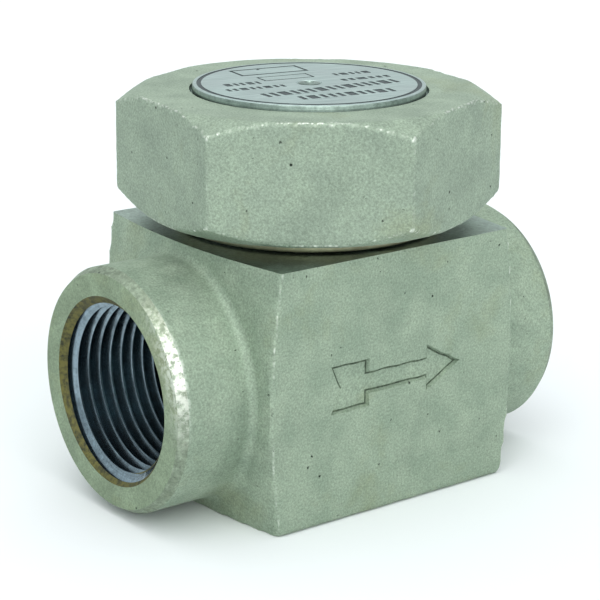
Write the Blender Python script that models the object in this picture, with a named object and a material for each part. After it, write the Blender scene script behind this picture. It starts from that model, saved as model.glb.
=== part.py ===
"""Disc steam trap for 3/4 inch pipe: threaded body, replaceable seat, free disc and hexagonal cap.

All dimensions are in millimetres until a mesh is made. +X is the direction of flow, +Z is up, and the
origin lies under the middle of the body, on the plane that the body stands on.
"""

import math

import bmesh
import bpy
from mathutils import Matrix, Vector

MM = 0.001
GAP = 0.3  # clearance between two pieces that touch
CLEAR = 1.0  # how far a cutting tool reaches past the surface that it cuts

# Body: a square block between two round hubs
FACE_TO_FACE = 69.0
HUB_AXIS_Z = 18.4
HUB_RADIUS = 17.5
HUB_CHAMFER_AXIAL = 1.3
HUB_CHAMFER_RADIAL = 0.8
HUB_ROOT_FILLET = 1.6
SHOULDER_X = 22.4  # the end face swells into a shallow cone around each hub
SHOULDER_RADIUS = 19.0
BLOCK_HALF_X = 20.6
BLOCK_CONE_RADIUS = 27.5
BLOCK_HALF_Y = 20.7
BLOCK_HEIGHT = 37.8
BLOCK_EDGE_ROUND = 1.2

# Ports: 3/4-14 tapered pipe thread
PIPE_PITCH = 25.4 / 14
PIPE_MAJOR_RADIUS = 13.28
PIPE_THREAD_DEPTH = 1.35
PIPE_TAPER = 1 / 32
PIPE_CREST_FLAT = PIPE_PITCH / 16
PORT_SINK_RADIUS = 13.5
PORT_THREAD_LENGTH = 15.5
PORT_DEPTH = 16.0
DRILL_POINT_SLOPE = math.tan(math.radians(31))

# Passages between the ports and the seat
PASSAGE_RADIUS = 3.4
INLET_RISER_RADIUS = 3.0
OUTLET_RISER_RADIUS = 1.8
OUTLET_RISER_X = 8.4
OUTLET_RING_INNER = 6.4
OUTLET_RING_OUTER = 10.4
OUTLET_RING_DEPTH = 4.0

# Neck of the body and the screw thread that the cap runs on
NECK_HEIGHT = 10.2
NECK_BURIED = 3.0  # both screw threads start this far below the block's top, so that they stay in step
CAP_PITCH = 2.0
NECK_CREST_RADIUS = 17.5
CAP_THREAD_DEPTH = 1.15
NECK_CREST_FLAT = 0.25
CAP_THREAD_EXTRA_FLAT = 0.24  # the groove in the cap is this much wider than the neck's crest
NECK_LEAD_IN = 1.3
SEAT_POCKET_RADIUS = 13.2
SEAT_POCKET_DEPTH = 6.0

# Seat, gaskets and disc
SEAT_GASKET_THICKNESS = 0.7
INNER_GASKET_RADII = (4.2, 6.0)
OUTER_GASKET_RADII = (10.8, 12.9)
SEAT_RADIUS = 12.9
SEAT_THICKNESS = 5.0
SEAT_GROOVE_RADII = (6.5, 9.0)
SEAT_GROOVE_DEPTH = 1.7
SEAT_HOLE_RADIUS = 1.2
SEAT_HOLE_COUNT = 3
DISC_RADIUS = 11.3
DISC_THICKNESS = 2.8
DISC_CHAMFER = 0.3
DISC_GROOVE_RADII = (5.0, 6.0)
DISC_GROOVE_DEPTH = 0.4
DISC_LIFT = 1.7
CAP_GASKET_RADII = (18.0, 19.2)
CAP_GASKET_THICKNESS = 1.6

# Cap: a hexagon with its corners turned off, top and bottom
HEX_ACROSS_FLATS = 48.2
HEX_CORNER_ANGLE = 22.6  # of the first corner, in degrees
CAP_TOP_Z = 57.3
CAP_CHAMFER_SLOPE = 0.62
CAP_TOP_CIRCLE = 24.4
CAP_WASHER_CIRCLE = 23.8
CHAMBER_RADIUS = 12.0
CHAMBER_BOSS_RADIUS = 4.0
CHAMBER_BOSS_HEIGHT = 0.6

# Nameplate in its recess, held by one countersunk rivet
PLATE_RADIUS = 16.76
PLATE_THICKNESS = 1.2
PLATE_STANDS_PROUD = 0.8
PLATE_EDGE_BEVEL = 0.25
PLATE_RECESS_RADIUS = 17.2
RIVET_SHANK_RADIUS = 0.9
RIVET_HEAD_RADIUS = 1.6
RIVET_HEAD_DEPTH = 0.8
RIVET_LENGTH = 2.9
RIVET_CROWN = 0.1
RIVET_CROWN_EDGE = 0.96  # radius at which the crown turns down
RIVET_CROWN_EDGE_HEIGHT = 0.07

# Flow arrow sunk in the front face
ARROW_CENTRE_Z = 19.5
ARROW_HALF_LENGTH = 11.6
ARROW_HEAD_LENGTH = 6.3
ARROW_HEAD_HALF_WIDTH = 3.5
ARROW_SHAFT_HALF_WIDTH = 1.3
ARROW_TAIL_LENGTH = 6.8
ARROW_TAIL_NOTCH = 1.6
ARROW_DEPTH = 0.4

# Facets
ROUND_STEPS = 48
SMALL_STEPS = 32
THREAD_STEPS = 24
HOLE_STEPS = 16
CAP_CHAMFER_STEPS = 72
FILLET_STEPS = 4
SMOOTH_ANGLE = math.radians(32)

# Heights that follow from the dimensions above
NECK_TOP_Z = BLOCK_HEIGHT + NECK_HEIGHT
POCKET_FLOOR_Z = NECK_TOP_Z - SEAT_POCKET_DEPTH
SEAT_GASKET_Z = POCKET_FLOOR_Z + GAP
SEAT_Z = SEAT_GASKET_Z + SEAT_GASKET_THICKNESS + GAP
SEAT_TOP_Z = SEAT_Z + SEAT_THICKNESS
DISC_Z = SEAT_TOP_Z + GAP
CHAMBER_ROOF_Z = DISC_Z + DISC_THICKNESS + DISC_LIFT + GAP
CAP_GASKET_Z = BLOCK_HEIGHT + GAP
CAP_Z = CAP_GASKET_Z + CAP_GASKET_THICKNESS + GAP
PLATE_TOP_Z = CAP_TOP_Z + PLATE_STANDS_PROUD
PLATE_Z = PLATE_TOP_Z - PLATE_THICKNESS
HUB_X = FACE_TO_FACE / 2
HEX_CORNER_RADIUS = HEX_ACROSS_FLATS / math.sqrt(3)


def clear_scene():
    """Remove every object that the file opens with."""
    for obj in list(bpy.data.objects):
        bpy.data.objects.remove(obj, do_unlink=True)


def metal(name, colour, roughness, metallic=1.0):
    """Make a Principled material from a linear colour."""
    material = bpy.data.materials.new(name)
    material.use_nodes = True
    shader = material.node_tree.nodes["Principled BSDF"]
    shader.inputs["Base Color"].default_value = (*colour, 1.0)
    shader.inputs["Roughness"].default_value = roughness
    shader.inputs["Metallic"].default_value = metallic
    material.diffuse_color = (*colour, 1.0)
    return material


def finish_mesh(name, bm, material=None):
    """Turn a bmesh in millimetres into an object in metres, with its faces pointing out."""
    bmesh.ops.scale(bm, vec=Vector((MM, MM, MM)), verts=bm.verts)
    bmesh.ops.recalc_face_normals(bm, faces=bm.faces)
    mesh = bpy.data.meshes.new(name)
    bm.to_mesh(mesh)
    bm.free()
    if material:
        mesh.materials.append(material)
    mesh.shade_smooth()
    mesh.set_sharp_from_angle(angle=SMOOTH_ANGLE)
    obj = bpy.data.objects.new(name, mesh)
    bpy.context.scene.collection.objects.link(obj)
    return obj


def empty(name, z):
    """Make an empty on the vertical axis, at a height in millimetres."""
    obj = bpy.data.objects.new(name, None)
    obj.location = (0.0, 0.0, z * MM)
    bpy.context.scene.collection.objects.link(obj)
    return obj


def place(obj, parent=None, x=0.0, y=0.0, z=0.0):
    """Parent an object and set its place in millimetres, in its parent's frame."""
    obj.parent = parent
    obj.location = (x * MM, y * MM, z * MM)
    return obj


def turned(name, profile, material=None, steps=ROUND_STEPS, first_angle=0.0):
    """Turn a profile of (radius, height) points about +Z.

    A profile that starts and ends on the axis makes a solid, and any other is closed into a ring.
    """
    bm = bmesh.new()
    start = [Vector((radius, 0.0, height)) for radius, height in profile]
    verts = [bm.verts.new(Matrix.Rotation(first_angle, 3, "Z") @ point) for point in start]
    edges = [bm.edges.new(pair) for pair in zip(verts, verts[1:])]
    on_axis = profile[0][0] == 0.0 and profile[-1][0] == 0.0
    if not on_axis:
        edges.append(bm.edges.new((verts[-1], verts[0])))
    bmesh.ops.spin(
        bm, geom=verts + edges, cent=(0, 0, 0), axis=(0, 0, 1), angle=math.tau, steps=steps, use_merge=True
    )
    bmesh.ops.remove_doubles(bm, verts=bm.verts, dist=1e-4)
    return finish_mesh(name, bm, material)


def along_x(obj, direction):
    """Lay a piece turned about +Z along the hubs' axis, pointing to +X or -X."""
    obj.rotation_euler = (0.0, direction * math.pi / 2, 0.0)
    return obj


def prism(name, outline, base, top, material=None):
    """Extrude an outline in the XY plane from one height to another."""
    bm = bmesh.new()
    face = bm.faces.new([bm.verts.new((x, y, base)) for x, y in outline])
    extruded = bmesh.ops.extrude_face_region(bm, geom=[face])["geom"]
    raised = [item for item in extruded if isinstance(item, bmesh.types.BMVert)]
    bmesh.ops.translate(bm, vec=(0.0, 0.0, top - base), verts=raised)
    return finish_mesh(name, bm, material)


def block(name, low, high, edge_round=0.0):
    """Make a box between two corners, with its long lower edges rounded if asked."""
    bm = bmesh.new()
    size = [b - a for a, b in zip(low, high)]
    centre = [(a + b) / 2 for a, b in zip(low, high)]
    placing = Matrix.Translation(centre) @ Matrix.Diagonal((*size, 1.0))
    bmesh.ops.create_cube(bm, size=1.0, matrix=placing)
    if edge_round:
        lower = [
            edge for edge in bm.edges
            if all(abs(v.co.z - low[2]) < GAP for v in edge.verts)
            and abs(edge.verts[0].co.y - edge.verts[1].co.y) < GAP
        ]
        bmesh.ops.bevel(
            bm, geom=lower, offset=edge_round, segments=FILLET_STEPS, profile=0.5, affect="EDGES"
        )
    return finish_mesh(name, bm)


def threaded_rod(name, pitch, crest, depth, crest_flat, length, taper=0.0, drop=0.0):
    """Make a rod along +Z with a right-hand 60 degree thread and flat ends.

    The surface is a net of vertices: column n stands at angle n, lifted by that share of the pitch, so
    that a row climbs one pitch in a turn and the last column joins the first one, a pitch higher. The
    thread can be dropped by a little without moving the rod's ends.
    """
    root = crest - depth
    flank = depth * math.tan(math.radians(30))
    stations = ((0.0, crest), (crest_flat, crest), (crest_flat + flank, root), (pitch - flank, root))
    per_pitch = len(stations)
    turns_below = 2
    turns = math.ceil(length / pitch) + turns_below + 1
    bm = bmesh.new()

    def point(column, row):
        along, radius = stations[row % per_pitch]
        z = along - drop + pitch * (row // per_pitch - turns_below + column / THREAD_STEPS)
        angle = math.tau * column / THREAD_STEPS
        radius -= taper * z
        return bm.verts.new((radius * math.cos(angle), radius * math.sin(angle), z))

    rows = turns * per_pitch + 1
    net = [[point(column, row) for row in range(rows)] for column in range(THREAD_STEPS)]
    net.append(net[0][per_pitch:])
    for left, right in zip(net, net[1:]):
        for row in range(min(len(left), len(right)) - 1):
            bm.faces.new((left[row], right[row], right[row + 1], left[row + 1]))
    for height, outward in ((0.0, -1.0), (length, 1.0)):
        everything = bm.verts[:] + bm.edges[:] + bm.faces[:]
        found = bmesh.ops.bisect_plane(
            bm, geom=everything, plane_co=(0, 0, height), plane_no=(0, 0, outward), clear_outer=True
        )["geom_cut"]
        rim = [item for item in found if isinstance(item, bmesh.types.BMEdge)]
        bmesh.ops.holes_fill(bm, edges=rim)
    return finish_mesh(name, bm)


def shape_with(target, tool, operation="DIFFERENCE"):
    """Cut, join or intersect an object with a hidden tool that rides on it."""
    tool.hide_render = True
    tool.display_type = "WIRE"
    modifier = target.modifiers.new(tool.name, "BOOLEAN")
    modifier.operation = operation
    modifier.solver = "EXACT"
    modifier.object = tool


def hub_profile():
    """Half profile of the body about the hubs' axis, as (radius, distance) points, both ends alike."""
    slope = (BLOCK_HALF_X - SHOULDER_X) / (BLOCK_CONE_RADIUS - SHOULDER_RADIUS)
    lean = math.atan(-slope)
    centre_radius = HUB_RADIUS + HUB_ROOT_FILLET
    touch_radius = centre_radius - HUB_ROOT_FILLET * math.sin(lean)
    touch_x = SHOULDER_X + slope * (touch_radius - SHOULDER_RADIUS)
    centre_x = touch_x + HUB_ROOT_FILLET * math.cos(lean)
    fillet = []
    for step in range(FILLET_STEPS + 1):
        angle = lean + (math.pi / 2 - lean) * step / FILLET_STEPS
        radius = centre_radius - HUB_ROOT_FILLET * math.sin(angle)
        fillet.append((radius, centre_x - HUB_ROOT_FILLET * math.cos(angle)))
    outer_radius = math.hypot(BLOCK_HALF_Y, BLOCK_HEIGHT) + GAP
    half = [(outer_radius, BLOCK_HALF_X), (BLOCK_CONE_RADIUS, BLOCK_HALF_X), *fillet]
    half.append((HUB_RADIUS, HUB_X - HUB_CHAMFER_AXIAL))
    half.append((HUB_RADIUS - HUB_CHAMFER_RADIAL, HUB_X))
    half.append((0.0, HUB_X))
    far_half = [(radius, -distance) for radius, distance in half]
    return far_half[::-1] + half


def arrow_outline():
    """Outline of the flow arrow, pointing to +X, with a notched tail."""
    head_x = ARROW_HALF_LENGTH - ARROW_HEAD_LENGTH
    tail_x = ARROW_TAIL_LENGTH - ARROW_HALF_LENGTH
    upper = [
        (-ARROW_HALF_LENGTH, ARROW_HEAD_HALF_WIDTH),
        (tail_x, ARROW_HEAD_HALF_WIDTH),
        (tail_x, ARROW_SHAFT_HALF_WIDTH),
        (head_x, ARROW_SHAFT_HALF_WIDTH),
        (head_x, ARROW_HEAD_HALF_WIDTH),
    ]
    lower = [(x, -y) for x, y in reversed(upper)]
    notch = (ARROW_TAIL_NOTCH - ARROW_HALF_LENGTH, 0.0)
    return [notch, *upper, (ARROW_HALF_LENGTH, 0.0), *lower]


def cut_port(body, side, direction, passage_end):
    """Sink, drill and thread one port, and drill its passage to a distance past the middle."""
    minor = PIPE_MAJOR_RADIUS - PIPE_THREAD_DEPTH - GAP
    sink_foot = PORT_SINK_RADIUS - minor
    bottom = minor - PIPE_TAPER * PORT_DEPTH
    point_depth = PORT_DEPTH + (bottom - PASSAGE_RADIUS) * DRILL_POINT_SLOPE
    bore = turned(
        f"{side}_bore_tool",
        [
            (0.0, -CLEAR),
            (PORT_SINK_RADIUS + CLEAR, -CLEAR),
            (minor, sink_foot),
            (bottom, PORT_DEPTH),
            (PASSAGE_RADIUS, point_depth),
            (PASSAGE_RADIUS, HUB_X + passage_end),
            (0.0, HUB_X + passage_end),
        ],
        steps=SMALL_STEPS,
    )
    thread = threaded_rod(
        f"{side}_thread_tool", PIPE_PITCH, PIPE_MAJOR_RADIUS, PIPE_THREAD_DEPTH,
        PIPE_CREST_FLAT, PORT_THREAD_LENGTH + CLEAR, PIPE_TAPER,
    )
    along_x(place(bore, body, x=-direction * HUB_X, z=HUB_AXIS_Z), direction)
    along_x(place(thread, body, x=-direction * (HUB_X + CLEAR), z=HUB_AXIS_Z), direction)
    shape_with(body, bore)
    shape_with(body, thread)


def make_body(material):
    """The cast body: block, hubs, threaded neck, ports, passages and flow arrow."""
    body = turned("body", hub_profile(), material)
    for vertex in body.data.vertices:
        across, y, along = vertex.co
        vertex.co = (along, y, HUB_AXIS_Z * MM - across)
    reach = HUB_X + CLEAR
    low = (-reach, -BLOCK_HALF_Y, 0.0)
    high = (reach, BLOCK_HALF_Y, BLOCK_HEIGHT)
    envelope = block("block_tool", low, high, BLOCK_EDGE_ROUND)
    shape_with(body, place(envelope, body), "INTERSECT")

    neck = threaded_rod(
        "neck_thread_tool", CAP_PITCH, NECK_CREST_RADIUS, CAP_THREAD_DEPTH, NECK_CREST_FLAT,
        NECK_HEIGHT + NECK_BURIED,
    )
    shape_with(body, place(neck, body, z=BLOCK_HEIGHT - NECK_BURIED), "UNION")
    lead_in = turned(
        "neck_lead_in_tool",
        [
            (NECK_CREST_RADIUS - NECK_LEAD_IN, CLEAR),
            (NECK_CREST_RADIUS - NECK_LEAD_IN, 0.0),
            (NECK_CREST_RADIUS + CLEAR, -NECK_LEAD_IN - CLEAR),
            (NECK_CREST_RADIUS + CLEAR, CLEAR),
        ],
    )
    shape_with(body, place(lead_in, body, z=NECK_TOP_Z))

    seat_pocket = turned(
        "seat_pocket_tool",
        [
            (0.0, SEAT_POCKET_DEPTH + CLEAR),
            (SEAT_POCKET_RADIUS, SEAT_POCKET_DEPTH + CLEAR),
            (SEAT_POCKET_RADIUS, 0.0),
            (OUTLET_RING_OUTER, 0.0),
            (OUTLET_RING_OUTER, -OUTLET_RING_DEPTH),
            (OUTLET_RING_INNER, -OUTLET_RING_DEPTH),
            (OUTLET_RING_INNER, 0.0),
            (INLET_RISER_RADIUS, 0.0),
            (INLET_RISER_RADIUS, HUB_AXIS_Z - POCKET_FLOOR_Z),
            (0.0, HUB_AXIS_Z - POCKET_FLOOR_Z),
        ],
    )
    shape_with(body, place(seat_pocket, body, z=POCKET_FLOOR_Z))

    cut_port(body, "inlet", 1, PASSAGE_RADIUS)
    cut_port(body, "outlet", -1, OUTLET_RISER_RADIUS - OUTLET_RISER_X)
    riser_top = POCKET_FLOOR_Z - OUTLET_RING_DEPTH + CLEAR
    riser = turned(
        "outlet_riser_tool",
        [
            (0.0, HUB_AXIS_Z),
            (OUTLET_RISER_RADIUS, HUB_AXIS_Z),
            (OUTLET_RISER_RADIUS, riser_top),
            (0.0, riser_top),
        ],
        steps=SMALL_STEPS,
    )
    shape_with(body, place(riser, body, x=OUTLET_RISER_X))

    arrow = prism("arrow_tool", arrow_outline(), -ARROW_DEPTH, CLEAR)
    place(arrow, body, y=-BLOCK_HALF_Y, z=ARROW_CENTRE_Z)
    arrow.rotation_euler = (math.pi / 2, 0.0, 0.0)
    shape_with(body, arrow)
    return body


def ring(name, radii, thickness, material):
    """A flat ring standing on z = 0."""
    inner, outer = radii
    return turned(name, [(inner, 0.0), (outer, 0.0), (outer, thickness), (inner, thickness)], material)


def make_seat(material):
    """The seat: two flat lands with a groove between them, drained by three holes."""
    groove_inner, groove_outer = SEAT_GROOVE_RADII
    floor = SEAT_THICKNESS - SEAT_GROOVE_DEPTH
    seat = turned(
        "seat_insert",
        [
            (INLET_RISER_RADIUS, 0.0),
            (SEAT_RADIUS, 0.0),
            (SEAT_RADIUS, SEAT_THICKNESS),
            (groove_outer, SEAT_THICKNESS),
            (groove_outer, floor),
            (groove_inner, floor),
            (groove_inner, SEAT_THICKNESS),
            (INLET_RISER_RADIUS, SEAT_THICKNESS),
        ],
        material,
    )
    hole_circle = (groove_inner + groove_outer) / 2
    for hole in range(SEAT_HOLE_COUNT):
        angle = math.tau * hole / SEAT_HOLE_COUNT
        tool = turned(
            f"seat_hole_{hole + 1}_tool",
            [
                (0.0, -CLEAR),
                (SEAT_HOLE_RADIUS, -CLEAR),
                (SEAT_HOLE_RADIUS, floor + CLEAR),
                (0.0, floor + CLEAR),
            ],
            steps=HOLE_STEPS,
        )
        place(tool, seat, x=hole_circle * math.cos(angle), y=hole_circle * math.sin(angle))
        shape_with(seat, tool)
    return seat


def make_disc(material):
    """The free disc, flat below and with a shallow turned groove on its back."""
    groove_inner, groove_outer = DISC_GROOVE_RADII
    return turned(
        "valve_disc",
        [
            (0.0, 0.0),
            (DISC_RADIUS - DISC_CHAMFER, 0.0),
            (DISC_RADIUS, DISC_CHAMFER),
            (DISC_RADIUS, DISC_THICKNESS - DISC_CHAMFER),
            (DISC_RADIUS - DISC_CHAMFER, DISC_THICKNESS),
            (groove_outer, DISC_THICKNESS),
            (groove_outer, DISC_THICKNESS - DISC_GROOVE_DEPTH),
            (groove_inner, DISC_THICKNESS - DISC_GROOVE_DEPTH),
            (groove_inner, DISC_THICKNESS),
            (0.0, DISC_THICKNESS),
        ],
        material,
    )


def make_cap(material):
    """The hexagonal cap, modelled from its washer face up, with its thread, chamber and recess."""
    height = CAP_TOP_Z - CAP_Z
    corners = [math.radians(HEX_CORNER_ANGLE + 60 * k) for k in range(6)]
    outline = [(HEX_CORNER_RADIUS * math.cos(a), HEX_CORNER_RADIUS * math.sin(a)) for a in corners]
    cap = prism("cap", outline, -CLEAR, height + CLEAR, material)

    rim = HEX_CORNER_RADIUS + CLEAR
    blank = turned(
        "cap_blank_tool",
        [
            (0.0, 0.0),
            (CAP_WASHER_CIRCLE, 0.0),
            (rim, (rim - CAP_WASHER_CIRCLE) * CAP_CHAMFER_SLOPE),
            (rim, height - (rim - CAP_TOP_CIRCLE) * CAP_CHAMFER_SLOPE),
            (CAP_TOP_CIRCLE, height),
            (0.0, height),
        ],
        steps=CAP_CHAMFER_STEPS,
        first_angle=math.radians(HEX_CORNER_ANGLE),
    )
    shape_with(cap, place(blank, cap), "INTERSECT")

    shoulder = SEAT_TOP_Z + GAP - CAP_Z
    thread_start = BLOCK_HEIGHT - NECK_BURIED - CAP_Z
    thread = threaded_rod(
        "cap_thread_tool", CAP_PITCH, NECK_CREST_RADIUS + GAP, CAP_THREAD_DEPTH,
        NECK_CREST_FLAT + CAP_THREAD_EXTRA_FLAT, shoulder - thread_start,
        drop=CAP_THREAD_EXTRA_FLAT / 2,
    )
    shape_with(cap, place(thread, cap, z=thread_start))

    mouth = NECK_CREST_RADIUS + 2 * GAP
    lead_in = turned(
        "cap_lead_in_tool",
        [(0.0, -CLEAR), (mouth + CLEAR, -CLEAR), (mouth - CLEAR, CLEAR), (0.0, CLEAR)],
    )
    shape_with(cap, place(lead_in, cap))

    roof = CHAMBER_ROOF_Z - CAP_Z
    chamber = turned(
        "chamber_tool",
        [
            (0.0, shoulder - GAP),
            (CHAMBER_RADIUS, shoulder - GAP),
            (CHAMBER_RADIUS, roof + CHAMBER_BOSS_HEIGHT),
            (CHAMBER_BOSS_RADIUS, roof + CHAMBER_BOSS_HEIGHT),
            (CHAMBER_BOSS_RADIUS, roof),
            (0.0, roof),
        ],
    )
    shape_with(cap, place(chamber, cap))

    recess_floor = PLATE_Z - GAP - CAP_Z
    rivet_foot = PLATE_TOP_Z - RIVET_LENGTH - GAP - CAP_Z
    rivet_hole = RIVET_SHANK_RADIUS + GAP
    recess = turned(
        "plate_recess_tool",
        [
            (0.0, rivet_foot),
            (rivet_hole, rivet_foot),
            (rivet_hole, recess_floor),
            (PLATE_RECESS_RADIUS, recess_floor),
            (PLATE_RECESS_RADIUS, height + CLEAR),
            (0.0, height + CLEAR),
        ],
    )
    shape_with(cap, place(recess, cap))
    return cap


def make_nameplate(material):
    """The round plate, with a softened rim and a countersunk hole in the middle."""
    hole = RIVET_SHANK_RADIUS + GAP
    mouth = RIVET_HEAD_RADIUS + GAP
    return turned(
        "nameplate",
        [
            (hole, 0.0),
            (PLATE_RADIUS, 0.0),
            (PLATE_RADIUS, PLATE_THICKNESS - PLATE_EDGE_BEVEL),
            (PLATE_RADIUS - PLATE_EDGE_BEVEL, PLATE_THICKNESS),
            (mouth, PLATE_THICKNESS),
            (hole, PLATE_THICKNESS - RIVET_HEAD_DEPTH),
        ],
        material,
    )


def make_rivet(material):
    """The countersunk rivet, from its foot up, with a slightly crowned head."""
    return turned(
        "nameplate_rivet",
        [
            (0.0, 0.0),
            (RIVET_SHANK_RADIUS, 0.0),
            (RIVET_SHANK_RADIUS, RIVET_LENGTH - RIVET_HEAD_DEPTH),
            (RIVET_HEAD_RADIUS, RIVET_LENGTH),
            (RIVET_CROWN_EDGE, RIVET_LENGTH + RIVET_CROWN_EDGE_HEIGHT),
            (0.0, RIVET_LENGTH + RIVET_CROWN),
        ],
        material,
        steps=SMALL_STEPS,
    )


def main():
    """Build every piece and hang the moving ones on their axes."""
    clear_scene()
    cast_steel = metal("cast stainless steel, shot blasted", (0.42, 0.47, 0.40), 0.55)
    turned_steel = metal("hardened stainless steel, ground", (0.60, 0.61, 0.60), 0.25)
    gasket_iron = metal("soft iron, plated", (0.45, 0.40, 0.30), 0.50)
    plate_steel = metal("stainless sheet, brushed", (0.66, 0.71, 0.71), 0.35)

    body = make_body(cast_steel)
    for name, radii in (("seat_inner_gasket", INNER_GASKET_RADII), ("seat_outer_gasket", OUTER_GASKET_RADII)):
        place(ring(name, radii, SEAT_GASKET_THICKNESS, gasket_iron), body, z=SEAT_GASKET_Z)
    place(make_seat(turned_steel), body, z=SEAT_Z)

    disc_slide = empty("disc_slide", DISC_Z)
    place(make_disc(turned_steel), disc_slide)

    gasket_slide = empty("cap_gasket_slide", CAP_GASKET_Z)
    place(ring("cap_gasket", CAP_GASKET_RADII, CAP_GASKET_THICKNESS, gasket_iron), gasket_slide)

    cap_screw = empty("cap_screw", CAP_Z)
    place(make_cap(cast_steel), cap_screw)
    place(make_nameplate(plate_steel), cap_screw, z=PLATE_Z - CAP_Z)
    place(make_rivet(turned_steel), cap_screw, z=PLATE_TOP_Z - RIVET_LENGTH - CAP_Z)


main()
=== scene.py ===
import logging
import math
import random
from collections.abc import Callable, Sequence
from dataclasses import dataclass, field
from enum import Enum

import bpy
import numpy as np
from mathutils import Matrix, Vector
from mathutils.kdtree import KDTree


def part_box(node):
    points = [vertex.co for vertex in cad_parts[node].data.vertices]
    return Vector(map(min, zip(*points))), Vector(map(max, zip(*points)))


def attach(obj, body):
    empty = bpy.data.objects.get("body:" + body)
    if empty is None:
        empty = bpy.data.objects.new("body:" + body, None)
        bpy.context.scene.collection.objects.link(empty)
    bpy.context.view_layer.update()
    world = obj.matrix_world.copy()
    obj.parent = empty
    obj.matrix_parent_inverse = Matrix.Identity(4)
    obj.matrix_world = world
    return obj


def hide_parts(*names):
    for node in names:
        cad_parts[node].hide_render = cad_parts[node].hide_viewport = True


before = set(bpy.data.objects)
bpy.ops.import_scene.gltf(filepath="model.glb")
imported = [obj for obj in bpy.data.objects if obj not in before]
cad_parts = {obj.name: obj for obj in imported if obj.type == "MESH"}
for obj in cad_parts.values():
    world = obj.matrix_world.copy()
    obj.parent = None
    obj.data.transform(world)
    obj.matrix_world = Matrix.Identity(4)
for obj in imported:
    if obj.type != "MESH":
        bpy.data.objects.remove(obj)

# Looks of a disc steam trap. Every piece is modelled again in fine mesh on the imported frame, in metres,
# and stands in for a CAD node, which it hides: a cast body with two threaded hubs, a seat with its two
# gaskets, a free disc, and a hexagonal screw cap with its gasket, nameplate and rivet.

MM = 0.001
FINE_STEPS = 128  # facets round a visible circle
SMALL_STEPS = 48  # facets round a small or hidden circle
THREAD_STEPS = 96  # facets in one turn of a thread
CLEAR = 1.0  # how far a cutting tool reaches past the surface that it cuts, in millimetres
GAP = 0.3  # clearance between two pieces that touch, in millimetres
WELD = 0.001  # points nearer than this become one, in millimetres
HUB_AXIS = 18.4  # height of the hubs' axis, in millimetres
ROUND_IN = 0.29  # how far in a rounded corner's middle lies, as a share of its radius
SMOOTH_ANGLE = math.radians(32)  # edges sharper than this stay sharp
FLANK_SLOPE = math.tan(math.radians(30))  # of a 60 degree thread
WEAR_AND_GLINT = "edge_wear_and_glint"  # vertex attribute: 1 on a worn edge, up to 0.8 where a highlight is painted on the inlet hub's chamfer, 0 elsewhere

Profile = Sequence[tuple[float, float]]

log = logging.getLogger("trap")


class Cut(Enum):
    """What a boolean tool does to the piece it is used on."""

    TAKE_AWAY = "DIFFERENCE"
    ADD = "UNION"
    KEEP_COMMON = "INTERSECT"


class Side(Enum):
    """The end of the body that a port is on, as the direction in which the port is drilled."""

    INLET = 1
    OUTLET = -1


def linear(colour: str) -> tuple[float, float, float, float]:
    """Turn an sRGB hex colour into linear RGBA.

    Args:
        colour: six hex digits, with or without a leading #.

    Returns:
        Red, green, blue and a full alpha.
    """
    digits = colour.lstrip("#")
    channels = [int(digits[place:place + 2], 16) / 255 for place in (0, 2, 4)]
    red, green, blue = [c / 12.92 if c <= 0.04045 else ((c + 0.055) / 1.055) ** 2.4 for c in channels]
    return (red, green, blue, 1.0)


def add_node(
    tree: bpy.types.NodeTree, kind: str, sockets: dict[str | int, object] | None = None, **settings: object
) -> bpy.types.Node:
    """Add a shader node with its settings, values and links.

    Args:
        tree: the node tree to add it to.
        kind: the node's type, without the leading "ShaderNode".
        sockets: for each input, by name or index, a value or the output that feeds it.
        settings: the node's own properties.

    Returns:
        The new node.
    """
    node = tree.nodes.new(f"ShaderNode{kind}")
    for name, value in settings.items():
        setattr(node, name, value)
    for key, value in (sockets or {}).items():
        if isinstance(value, bpy.types.NodeSocket):
            tree.links.new(value, node.inputs[key])
        else:
            node.inputs[key].default_value = value
    return node


def new_metal(name: str, roughness: float, metallic: float = 1.0) -> tuple[bpy.types.Material, bpy.types.Node]:
    """Start a material whose shader has its plain values set.

    Args:
        name: the real material and how its surface was made.
        roughness: the shader's roughness where nothing is linked to it.
        metallic: 1 for bare metal, 0 for paint or grime.

    Returns:
        The material and its Principled shader.
    """
    material = bpy.data.materials.new(name)
    material.use_nodes = True
    shader = material.node_tree.nodes["Principled BSDF"]
    shader.inputs["Roughness"].default_value = roughness
    shader.inputs["Metallic"].default_value = metallic
    return material, shader


def grain_scale(size: float) -> float:
    """Noise scale, for coordinates in metres, whose features are this many millimetres wide."""
    return 1.0 / (size * MM)


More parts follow.
